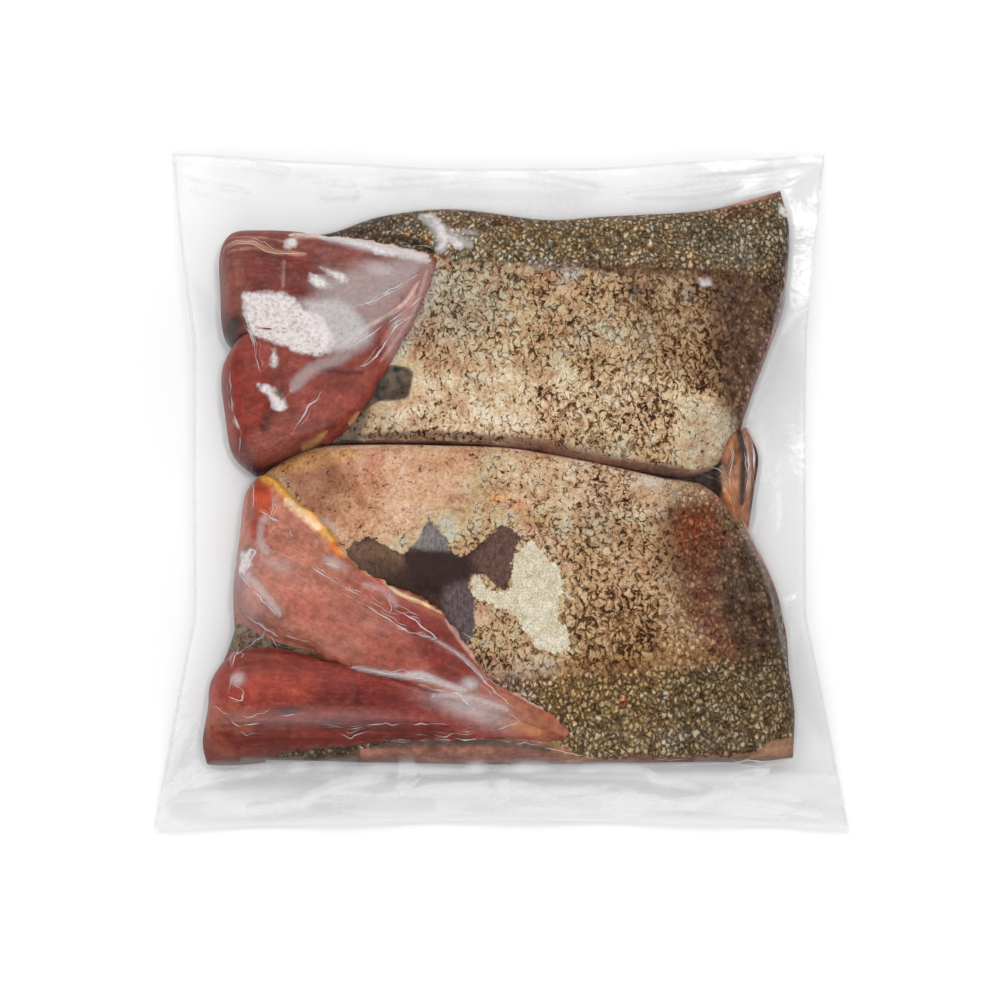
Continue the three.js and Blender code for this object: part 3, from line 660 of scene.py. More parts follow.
def depth_inside(points, x, y):
    """How far inside an outline each place is. Outside it is negative."""
    ring = smooth_line([*points, points[0]], 3)
    distance, _ = line_distance(ring, x, y)
    inside = np.zeros(x.shape, bool)
    for a, b in zip(ring, ring[1:]):
        spans = (a[1] > y) != (b[1] > y)
        if a[1] != b[1]:
            crossing = a[0] + (y - a[1]) * (b[0] - a[0]) / (b[1] - a[1])
            inside ^= spans & (x < crossing)
    return np.where(inside, distance, -distance)


def coverage(mark, x, y):
    """How much of each place a mark covers, 0 to 1."""
    if isinstance(mark, Spot):
        dx, dy = x - mark.x, y - mark.y
        along = dx * math.cos(mark.turn) + dy * math.sin(mark.turn)
        across = dy * math.cos(mark.turn) - dx * math.sin(mark.turn)
        return np.exp(-((along / mark.length) ** 2 + (across / mark.width) ** 2) ** 1.3)
    margin = mark.reach if isinstance(mark, Stroke) else mark.edge
    points = np.array(mark.points, float)
    near = (x > points[:, 0].min() - margin) & (x < points[:, 0].max() + margin)
    near &= (y > points[:, 1].min() - margin) & (y < points[:, 1].max() + margin)
    cover = np.zeros(x.shape)
    if not near.any():
        return cover
    if isinstance(mark, Stroke):
        distance, along = line_distance(smooth_line(mark.points, 5), x[near], y[near])
        taper = np.sqrt(np.clip(np.minimum(along, 1 - along) * 8, 0.02, 1))
        cover[near] = 1 - ramp(distance / (mark.reach * taper), 0.15, 1)
    else:
        cover[near] = ramp(depth_inside(mark.points, x[near], y[near]) / mark.edge, -0.5, 0.5)
    return cover


def painted(marks, x, y, base=None):
    """Colour and strength of the paint at each place, later marks over earlier ones."""
    colour = np.zeros((x.size, 4))
    if base:
        colour[:] = linear(base)
    for mark in marks:
        share = (coverage(mark, x, y) * mark.amount)[:, None]
        strength = share + colour[:, 3:] * (1 - share)
        mixed = np.array(linear(mark.colour))[:3] * share + colour[:, :3] * colour[:, 3:] * (1 - share)
        colour[:, :3] = np.where(strength > 1e-4, mixed / np.maximum(strength, 1e-4), 0)
        colour[:, 3:] = strength
    return colour


def shaped(marks, x, y):
    """What the marks add up to at each place."""
    return sum(coverage(mark, x, y) * mark.amount for mark in marks)


# Meshes


def linear(colour):
    """A hex colour as shown on screen, turned to linear red, green, blue and alpha."""
    channels = [int(colour[k:k + 2], 16) / 255 for k in (0, 2, 4)]
    return (*(c / 12.92 if c <= 0.04045 else ((c + 0.055) / 1.055) ** 2.4 for c in channels), 1.0)


def toward_edges(t, share):
    """Crowds evenly spaced shares towards both edges."""
    return mix(t, 0.5 - 0.5 * np.cos(np.pi * t), share)


Sheet = namedtuple("Sheet", "mesh u v x y upper")
FAR = 100.0  # beyond any height


def grid_mesh(name, outline, columns, rows, crowding=0.0, thick=True):
    """A grid over an outline, or a closed slab of two grids. Heights are set afterwards."""
    bm = bmesh.new()
    bmesh.ops.create_grid(bm, x_segments=columns, y_segments=rows, size=1)
    if thick:
        grown = bmesh.ops.extrude_face_region(bm, geom=bm.faces[:])
        raised = [part for part in grown["geom"] if isinstance(part, bmesh.types.BMVert)]
        bmesh.ops.translate(bm, vec=(0, 0, 1), verts=raised)
        bmesh.ops.recalc_face_normals(bm, faces=bm.faces[:])
    mesh = bpy.data.meshes.new(name)
    bm.to_mesh(mesh)
    bm.free()
    mesh.polygons.foreach_set("use_smooth", np.ones(len(mesh.polygons), bool))
    co = points_of(mesh)
    upper = co[:, 2] > 0.5
    span = np.ptp(co[:, :2], axis=0)
    u, v = ((co[:, :2] - co[:, :2].min(0)) / span).T
    u, v = toward_edges(u, crowding), toward_edges(v, crowding)
    x, y = patch_map(outline)(u, v).T
    return Sheet(mesh, u, v, x, y, upper)


def points_of(mesh):
    co = np.empty(len(mesh.vertices) * 3, np.float32)
    mesh.vertices.foreach_get("co", co)
    return co.reshape(-1, 3).astype(float)


def set_points(mesh, x, y, z):
    """Writes a mesh's points, given in millimetres of the pouch."""
    co = np.stack([x, y - MIDDLE, z], -1) * MM
    mesh.vertices.foreach_set("co", co.astype(np.float32).ravel())
    mesh.update()


def store(mesh, name, values):
    """Keeps a value, a vector or a colour for each point of a mesh."""
    kinds = {1: ("FLOAT", "value"), 3: ("FLOAT_VECTOR", "vector"), 4: ("FLOAT_COLOR", "color")}
    kind, field = kinds[1 if values.ndim == 1 else values.shape[1]]
    attribute = mesh.attributes.new(name, kind, "POINT")
    attribute.data.foreach_set(field, values.astype(np.float32).ravel())


def add_piece(mesh, materials):
    """Links a finished mesh as a piece of the pouch."""
    piece = bpy.data.objects.new(mesh.name, mesh)
    bpy.context.scene.collection.objects.link(piece)
    for material in materials:
        mesh.materials.append(material)
    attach(piece, "root")
    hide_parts(POUCH)
    return piece


def heights_under(pieces, x, y, upward=False):
    """Height of the pieces' surface at each place, seen from above or, upward, from below."""
    points, faces = [], []
    for piece in pieces:
        first = len(points)
        co = points_of(piece.data) / MM + (0, MIDDLE, 0)
        points += [tuple(c) for c in co]
        faces += [[first + k for k in polygon.vertices] for polygon in piece.data.polygons]
    tree = BVHTree.FromPolygons(points, faces)
    way, start = (Vector((0, 0, 1)), -FAR) if upward else (Vector((0, 0, -1)), FAR)
    found = np.full(x.shape, np.nan)
    for k, (px, py) in enumerate(zip(x.tolist(), y.tolist())):
        hit = tree.ray_cast(Vector((px, py, start)), way)[0]
        if hit is not None:
            found[k] = hit.z
    return found


# The fish

SKIN, FLESH = 0, 1
FAR_OUTSIDE = -50.0  # for the upper fillet, which has no torn and no bare place

# How far the skin stops short of a fillet's sides: pairs of a place along the side and millimetres
UPPER_CUT = {
    "west": [(0, 2)], "east": [(0, 1.4), (130, 1.0)],
    "south": [(-70, 0.5), (0, 1.0), (30, 2.6), (60, 2.8), (95, 2.0)],
    "north": [(84, 0.4), (100, 1.6), (112, 3.4), (128, 3.4)],
}
LOWER_CUT = {
    "west": [(0, 2)], "east": [(-128, 3.5), (-118, 0.8), (-62, 0.6), (-54, 2.4), (-20, 2.8), (-4, 3.2)],
    "south": [
        (-94, 0.2), (-72, 0.4), (-46, 6.5), (-20, 8.2), (22, 7.6), (34, 0.8), (92, 0.6), (108, 2.2),
        (116, 6), (127, 8),
    ],
    "north": [(-106, 1.4), (40, 1.2), (90, 2.0)],
}


def skin_or_flesh(sheet, cut):
    """Gives the upper faces inside the cut skin, and the others flesh."""
    mesh, x, y = sheet.mesh, sheet.x, sheet.y
    west, east = (np.interp(y, *zip(*cut[side])) for side in ("west", "east"))
    south, north = (np.interp(x, *zip(*cut[side])) for side in ("south", "north"))
    length, width = np.ptp(x), np.ptp(y)
    inset = np.minimum.reduce([
        sheet.u * length - west, (1 - sheet.u) * length - east,
        sheet.v * width - south, (1 - sheet.v) * width - north,
    ]) + 0.7 * lumps(x, y, 5, 3) + 0.4 * lumps(x, y, 1.8, 4)
    inset[~sheet.upper] = -9
    corners = np.empty(len(mesh.loops), np.int32)
    mesh.loops.foreach_get("vertex_index", corners)
    faces = inset[corners].reshape(-1, 4).min(1)
    mesh.polygons.foreach_set("material_index", np.where(faces > 0, SKIN, FLESH).astype(np.int32))


def flat_underside(u, v):
    """Heights of a slab's flat underside, which turns up at its edges."""
    return mix(UNDER_EDGE, FLOOR_HEIGHT, rounded(u, 0.07, 0.07) * rounded(v, 0.07, 0.07))


def fillet(name, outline, crown, ends, sides, cut, beyond, marks, cracks, fine, lost=None):
    """A fillet, skin up: a slab that swells to its crown, flat below."""
    columns, rows = round(FILLET_LENGTH / SKIN_STEP), round(FILLET_WIDTH / SKIN_STEP)
    sheet = grid_mesh(name, outline, columns, rows, crowding=0.5)
    u, v, x, y = sheet.u, sheet.v, sheet.x, sheet.y
    full = rounded(u, *ends) * rounded(v, *sides)
    swell = 0.35 * lumps(x, y, 14, 1) + 0.2 * lumps(x, y, 5, 2)
    above = mix(RIM_HEIGHT, crown(u, v) - FILM_GAP, full) + swell * full
    if lost is not None:
        above -= lost(x, y) * full
    z = np.where(sheet.upper, above, flat_underside(u, v))
    set_points(sheet.mesh, x, y, z)
    skin_or_flesh(sheet, cut)
    store(sheet.mesh, "tint", painted(marks, x, y))
    back = ramp(beyond(x, y), -9, 7)
    crack = np.clip(1 + shaped(cracks, x, y), 0, 1.5) / 1.5
    finer = np.clip(shaped(fine, x, y), 0, 1)
    store(sheet.mesh, "region", np.stack([back, crack, finer, np.ones_like(x)], -1))
    store(sheet.mesh, "grain", np.stack([x, y, z], -1))
    return sheet


def upper_fillet():
    def crown(u, v):
        thick = mix(BELLY_THICKNESS, FILLET_THICKNESS, ramp(v, 0, 0.5)) - 3 * ramp(v, 0.7, 1)
        return thick - 4 * ramp(u, 0.72, 1) + 0.5 * np.sin(9 * u + 4 * v)

    def beyond(x, y):
        return y - np.interp(x, *zip(*UPPER_BACK_LINE))

    sheet = fillet(
        "upper_fillet", UPPER_FILLET, crown, (0.04, 0.06), (0.05, 0.14), UPPER_CUT, beyond,
        UPPER_SKIN_MARKS, UPPER_CRACKS, UPPER_FINE,
    )
    store(sheet.mesh, "wound", np.zeros((sheet.x.size, 4)))
    store(sheet.mesh, "torn", np.full(sheet.x.shape, FAR_OUTSIDE))
    store(sheet.mesh, "bare", np.full(sheet.x.shape, FAR_OUTSIDE))
    return sheet.mesh


def lower_fillet():
    def crown(u, v):
        thick = mix(FILLET_THICKNESS, BELLY_THICKNESS, ramp(v, 0.5, 1)) - 3 * ramp(0.25 - v, 0, 0.25)
        return thick - 4 * ramp(u, 0.75, 1) + 0.5 * np.sin(8 * u + 5 * v)

    def beyond(x, y):
        return np.interp(x, *zip(*LOWER_BACK_LINE)) - y

    def lost(x, y):
        torn = ramp(depth_inside(TORN_SKIN, x, y), -2, 2)
        return 0.2 * torn + 0.1 * ramp(depth_inside(BARE_SKIN, x, y), -2, 2)

    sheet = fillet(
        "lower_fillet", LOWER_FILLET, crown, (0.04, 0.07), (0.1, 0.05), LOWER_CUT, beyond,
        LOWER_SKIN_MARKS, LOWER_CRACKS, LOWER_FINE, lost,
    )
    store(sheet.mesh, "wound", painted(TORN_MARKS, sheet.x, sheet.y, "4b312a"))
    store(sheet.mesh, "torn", depth_inside(TORN_SKIN, sheet.x, sheet.y))
    store(sheet.mesh, "bare", depth_inside(BARE_SKIN, sheet.x, sheet.y))
    return sheet.mesh


def tail_lobe(name, outline, body, fold_height, sides, relief, folds, marks, base, size=(190, 90)):
    """A lobe of a folded tail: it turns up round the fillet's end and lies back over the skin."""
    sheet = grid_mesh(name, outline, *size, crowding=0.5)
    u, v, x, y = sheet.u, sheet.v, sheet.x, sheet.y
    ground = heights_under([body], x, y)
    beside = np.isnan(ground)
    ground = np.where(beside, RIM_HEIGHT, ground)
    fold = mix(fold_height, FILLET_THICKNESS + 5, ramp(u, 0.05, 0.7)) + relief(u, v)
    laid = ground + mix(LOBE_THICKNESS, TIP_THICKNESS, ramp(u, 0.35, 1))
    crown = mix(fold, laid, ramp(u, 0.3, 0.75))
    start = mix(RIM_HEIGHT, ground + 0.5, ramp(u, 0.12, 0.35))
    full = rounded(u, 0.1, 0.02) * rounded(v, *sides)
    soft = 0.3 * lumps(x, y, 11, 5) + 0.14 * lumps(x, y, 3.5, 6)
    above = mix(start, crown + shaped(folds, x, y) + soft, full)
    above = np.maximum(above, np.where(beside, 0, ground + 0.3))
    below = np.where(beside, mix(UNDER_EDGE, FLOOR_HEIGHT, rounded(u, 0.1, 0.1)), ground + 0.1)
    z = np.where(sheet.upper, above, np.minimum(below, above - 0.1))
    loose = (1 - ramp(np.minimum(v, 1 - v), 0, 0.06)) * ramp(u, 0.1, 0.3)
    fray = (0.8 * lumps(x + y, x - y, 4, 8) + 0.5 * lumps(x + y, x - y, 1.7, 9)) * loose
    set_points(sheet.mesh, x + fray, y + fray, z)
    store(sheet.mesh, "tint", painted(marks, x, y, base))
    length, width = np.ptp(x), np.ptp(y)
    store(sheet.mesh, "grain", np.stack([u * length, v * width, z], -1))
    return sheet.mesh


def upper_lobes(body):
    back = tail_lobe(
        "upper_tail_back_lobe", UPPER_BACK_LOBE, body, FOLD_HEIGHT, (0.06, 0.22),
        lambda u, v: 1.2 * np.sin(5 * v + 1) * (1 - u), UPPER_BACK_FOLDS, UPPER_BACK_LOBE_MARKS, "7c4035",
    )
    belly = tail_lobe(
        "upper_tail_belly_lobe", UPPER_BELLY_LOBE, body, FOLD_HEIGHT - 1, (0.1, 0.06),
        lambda u, v: -9 * ramp(0.6 - v, 0, 0.6) * (1 - 0.5 * u), UPPER_BELLY_FOLDS, UPPER_BELLY_LOBE_MARKS,
        "823b30",
    )
    return back, belly


def lower_lobes(body):
    belly = tail_lobe(
        "lower_tail_belly_lobe", LOWER_BELLY_LOBE, body, FOLD_HEIGHT, (0.14, 0.05),
        lambda u, v: -8 * ramp(v, 0.35, 1) * (1 - u), LOWER_BELLY_FOLDS, LOWER_BELLY_LOBE_MARKS, "9a5342",
        size=(230, 80),
    )
    back = tail_lobe(
        "lower_tail_back_lobe", LOWER_BACK_LOBE, body, FOLD_HEIGHT - 3, (0.2, 0.12),
        lambda u, v: -6 * ramp(0.45 - v, 0, 0.3), LOWER_BACK_FOLDS, LOWER_BACK_LOBE_MARKS, "80352a",
        size=(230, 80),
    )
    return belly, back


def belly_strip():
    sheet = grid_mesh("belly_strip", BELLY_STRIP, 40, 90, crowding=0.5)
    u, v = sheet.u, sheet.v
    crown = BELLY_STRIP_HEIGHT - 3 * ramp(u, 0.5, 1) - 2 * bump(u, 0.45, 0.1) + np.sin(7 * v)
    crown += 0.5 * lumps(sheet.x, sheet.y, 4, 9) - 5 * ramp(sheet.x, 99, 93)
    above = mix(RIM_HEIGHT, crown - FILM_GAP, rounded(u, 0.25, 0.4) * rounded(v, 0.2, 0.2))
    z = np.where(sheet.upper, above, flat_underside(u, v))
    set_points(sheet.mesh, sheet.x, sheet.y, z)
    store(sheet.mesh, "tint", painted(BELLY_STRIP_MARKS, sheet.x, sheet.y, "b97e62"))
    store(sheet.mesh, "grain", np.stack([sheet.y, sheet.x, z], -1))
    return sheet.mesh


# The film

PULL = 1.4  # how sharply the vacuum can bend the film, in curvature for each millimetre
DRAW_ROUNDS = 420
RIM_WAVES = 4
RIM_WAVE_HEIGHT = 1.3
RIM_SAG = 1.5
SOUTH_SAG = 4.0
CORNER_DROP = 4.5
CORNER_FOLD_HEIGHT = 1.1
RIM_EDGE_X, RIM_EDGE_Y = 140, 148  # about where the rim ends, from the middle
SEAL_WIDTH = 2.2  # the welded strip along the bottom edge
NO_FROST_AND_GLARE = -9.0


def rim_height(x, y):
    """Height of the flat rim, halfway between the two films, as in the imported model."""
    across_x, across_y = x / HALF_WIDTH, (y - MIDDLE) / HALF_LENGTH
    out_x, out_y = np.abs(across_x), np.abs(across_y)
    corner = ramp(out_x, 0.72, 1) * ramp(out_y, 0.72, 1)
    wave = np.sin(np.pi * RIM_WAVES * across_x + 0.8) * out_y ** 8
    wave += np.sin(np.pi * RIM_WAVES * across_y + 2.1) * out_x ** 8
    corner_fold = np.sin(9 * np.arctan2(out_y - 0.6, out_x - 0.6))
    sag = RIM_SAG * ramp(np.maximum(out_x, out_y), 0.82, 1)
    sag += SOUTH_SAG * ramp(-across_y, 0.86, 1) * (1 - corner)
    flat = RIM_HEIGHT - sag + RIM_WAVE_HEIGHT * wave * (1 - corner) - CORNER_DROP * corner
    return flat + CORNER_FOLD_HEIGHT * corner_fold * ramp(corner, 0.05, 0.6)


def rim_wrinkles(x, y):
    """Fine folds of the rim, along its nearest edge, and its larger raised folds."""
    out_x, out_y = np.abs(x) / RIM_EDGE_X, np.abs(y) / RIM_EDGE_Y
    ends = ramp(out_y, 0.9, 0.96)
    sides = ramp(out_x, 0.92, 0.97) * (1 - ends)
    along_ends = lumps(x / 9, y, 2.6, 11) + 0.6 * lumps(x / 5, y, 1.7, 12)
    along_sides = lumps(x, y / 9, 2.4, 13) + 0.5 * lumps(x, y / 6, 1.7, 14)
    return 0.1 * along_ends * ends + 0.06 * along_sides * sides + 0.3 * shaped(RIM_FOLDS, x, y)


def drawn(obstacle, rounds, pull):
    """The film's heights, drawn down onto what it covers, bridging what is narrow."""
    z = obstacle.copy()
    for _ in range(rounds):
        bridged = (z[1:-1, :-2] + z[1:-1, 2:] + z[:-2, 1:-1] + z[2:, 1:-1]) / 4 - pull
        z[1:-1, 1:-1] = np.maximum(obstacle[1:-1, 1:-1], bridged)
    return z


def film_sheet(name, pieces, columns, rows, upward):
    """One film, drawn onto the fish from above or, upward, from below, and onto the other film."""
    sheet = grid_mesh(name, FILM, columns, rows, thick=False)
    x, y = sheet.x, sheet.y
    sign = -1 if upward else 1
    fish = heights_under(pieces, x, y, upward) * sign
    rim = (rim_height(x, y) + rim_wrinkles(x, y)) * sign + 0.1
    obstacle = np.where(np.isnan(fish), -FAR, fish + FILM_GAP * 0.6)
    obstacle = np.maximum(obstacle, rim)
    order = np.lexsort((sheet.u.round(6), sheet.v.round(6)))
    shape = (rows + 1, columns + 1)
    step = POUCH_WIDTH / columns
    z = np.empty(x.shape)
    z[order] = drawn(obstacle[order].reshape(shape), DRAW_ROUNDS, PULL * step ** 2 / 4).ravel()
    set_points(sheet.mesh, x, y, z * sign)
    if upward:
        turn_over(sheet.mesh)
    between = (np.abs(x) < 108) & (y > -14) & (y < 26)  # where the fillets meet there is no rim
    cloud(sheet, (np.isnan(fish) & ~between).astype(float), marked=not upward)
    return sheet.mesh


def cloud(sheet, beside, marked):
    """Stores a film's hazy places and painted highlights, its painted grey shade, its frosty and painted
    glare patches, and where it touches the fish.
    """
    x, y = sheet.x, sheet.y
    edge = np.minimum.reduce([sheet.u, 1 - sheet.u, sheet.v, 1 - sheet.v]) * POUCH_WIDTH
    seal = 1 - ramp(sheet.v * 2 * HALF_LENGTH, SEAL_WIDTH - 0.6, SEAL_WIDTH + 0.6)

    # painted highlights along the rim's folds, stronger towards the bottom edge, and painted highlight
    # stripes along that edge on a faintly milk-white rim
    highlight_folds = [fold._replace(reach=2.1 * fold.reach) for fold in RIM_FOLDS]
    folds = np.clip(shaped(highlight_folds, x, y) * (0.42 + 0.4 * lumps(x, y, 7, 31)), 0, 1)
    folds *= 0.35 + 0.45 * ramp(-y, 0, 60)
    highlight_bands = np.clip(1.6 * lumps(x / 14, y, 3.6, 32), 0, 1) * ramp(-y, 132, 137)
    milky_with_highlights = (0.07 + 0.12 * ramp(-y, 131, 138) + 0.5 * highlight_bands) * beside

    haze_and_glare = np.maximum.reduce([0.7 * (1 - ramp(edge, 0.2, 1.2)), 0.75 * seal, milky_with_highlights, folds])
    # painted grey shade along the film's edge and over the seal
    shade = np.maximum(0.6 * (1 - ramp(edge, 0.6, 1.8)), 0.3 * seal)
    frost_and_glare = np.full(x.shape, NO_FROST_AND_GLARE)
    if marked:
        for mark in GLARE_AND_HAZE_MARKS:
            haze_and_glare = np.maximum(haze_and_glare, coverage(mark, x, y) * mark.amount)
        # painted grey shade on the rim
        for mark in SHADE_MARKS:
            shade = np.maximum(shade, coverage(mark, x, y) * mark.amount * 0.8)
        for patch in FROST_AND_GLARE:
            frost_and_glare = np.maximum(frost_and_glare, depth_inside(patch, x, y))
    store(sheet.mesh, "haze_and_glare", haze_and_glare)
    store(sheet.mesh, "shade", shade)
    store(sheet.mesh, "frost_and_glare", frost_and_glare)
    store(sheet.mesh, "touching", 1 - beside)


def turn_over(mesh):
    """Turns a sheet's faces over."""
    bm = bmesh.new()
    bm.from_mesh(mesh)
    bmesh.ops.reverse_faces(bm, faces=bm.faces[:])
    bm.to_mesh(mesh)
    bm.free()


WEB_THREADS = 3  # finer creases beside each one
CREASE_REACH = (0.14, 0.32)  # from a crease's middle line to its sides
THREAD_REACH = (0.07, 0.14)


def crease_lines(creases, chance):
    """The creases as wandering lines, and then short finer threads beside each."""
    lines = [smooth_line(points, 10) for points in creases]
    for line in lines[:]:
        for _ in range(WEB_THREADS):
            start = chance.uniform(0, 0.6)
            part = line[int(start * len(line)):int((start + chance.uniform(0.25, 0.4)) * len(line))]
            lines.append(part + chance.normal(0, 1.3, 2))
    for count, line in enumerate(lines):
        wander = 0.5 if count < len(creases) else 1.3
        line += wander * np.stack([lumps(line[:, 0], line[:, 1], 2.5, seed) for seed in (21, 22)], -1)
    return lines


def ridge(line, heights, thickness):
    """A closed six-sided ridge along a line, tapered to a point at both ends."""
    steps = len(line) - 1
    bm = bmesh.new()
    bmesh.ops.create_grid(bm, x_segments=steps, y_segments=6, size=1)
    run = np.gradient(line, axis=0)
    run /= np.linalg.norm(run, axis=1)[:, None]
    for vert in bm.verts:
        k = round((vert.co.x + 1) / 2 * steps)
        turn = (vert.co.y + 1) * math.pi
        thin = thickness[k] * math.sin(math.pi * k / steps) ** 0.6 if 0 < k < steps else 0.0
        across = math.cos(turn) * thin
        vert.co = Vector((
            line[k, 0] - run[k, 1] * across, line[k, 1] + run[k, 0] * across - MIDDLE,
            heights[k] + math.sin(turn) * thin * 0.7,
        )) * MM
    bmesh.ops.remove_doubles(bm, verts=bm.verts[:], dist=0.001 * MM)
    bmesh.ops.recalc_face_normals(bm, faces=bm.faces[:])
    mesh = bpy.data.meshes.new("crease")
    bm.to_mesh(mesh)
    bm.free()
    return mesh


def crease_ridges(film):
    """Thin ridges where the film bridges a fold, made white by painted highlights."""
    chance = np.random.default_rng(4)
    creases = UPPER_FLAP_CREASES + LOWER_FLAP_CREASES + SEAM_CREASES
    lines = crease_lines(creases, chance)
    ends = np.cumsum([len(line) for line in lines])[:-1]
    heights = np.split(heights_under([film], *np.vstack(lines).T), ends)
    whole = bmesh.new()
    for count, line in enumerate(lines):
        reach = chance.uniform(*(CREASE_REACH if count < len(creases) else THREAD_REACH))
        thickness = reach * np.clip(0.6 + 1.1 * lumps(line[:, 0], line[:, 1], 4, 23), 0.05, 1.4)
        part = ridge(line, heights[count], thickness)
        whole.from_mesh(part)
        bpy.data.meshes.remove(part)
    mesh = bpy.data.meshes.new("film_creases")
    whole.to_mesh(mesh)
    whole.free()
    mesh.polygons.foreach_set("use_smooth", np.ones(len(mesh.polygons), bool))
    # the ridges' hazy white value is a painted highlight
    for name, value in (("haze_and_glare", 0.7), ("shade", 0.0), ("frost_and_glare", NO_FROST_AND_GLARE), ("touching", 0.0)):
        store(mesh, name, np.full(len(mesh.vertices), value))
    return mesh


# Materials


def add_node(tree, kind, inputs=(), stops=None, **settings):
    """Adds a shader node. Its inputs, in order or by name, take values, outputs or whole nodes."""
    node = tree.nodes.new("ShaderNode" + kind)
    for key, value in settings.items():
        setattr(node, key, value)
    for key, value in inputs.items() if isinstance(inputs, dict) else enumerate(inputs):
        named = isinstance(key, str)
        socket = next(s for s in node.inputs if s.enabled and s.name == key) if named else node.inputs[key]
        if isinstance(value, bpy.types.Node):
            value = next(s for s in value.outputs if s.enabled)
        if isinstance(value, bpy.types.NodeSocket):
            tree.links.new(value, socket)
        else:
            socket.default_value = value
    if stops:
        ramp_stops = node.color_ramp.elements
        while len(ramp_stops) < len(stops):
            ramp_stops.new(0.5)
        for element, (position, colour) in zip(ramp_stops, stops):
            element.position = position
            element.color = linear(colour)
    return node


def new_material(name):
    """An empty material, what adds nodes to it, and the place on the pouch in millimetres."""
    material = bpy.data.materials.new(name)
    material.use_nodes = True
    material.node_tree.nodes.clear()
    add = partial(add_node, material.node_tree)
    place = add("TexCoord").outputs["Object"]
    mm = add("VectorMath", {0: place, "Scale": 1 / MM}, operation="SCALE")
    return material, add, mm


def painted_flank_shade(add, low, high):
    """Painted shade: darkens a fish where it stands low, to half below low and not at all above high."""
    grain = add("Attribute", attribute_name="grain").outputs["Vector"]
    height = add("SeparateXYZ", {"Vector": grain}).outputs["Z"]
    return add("MapRange", [height, low, high, 0.5, 1.0])


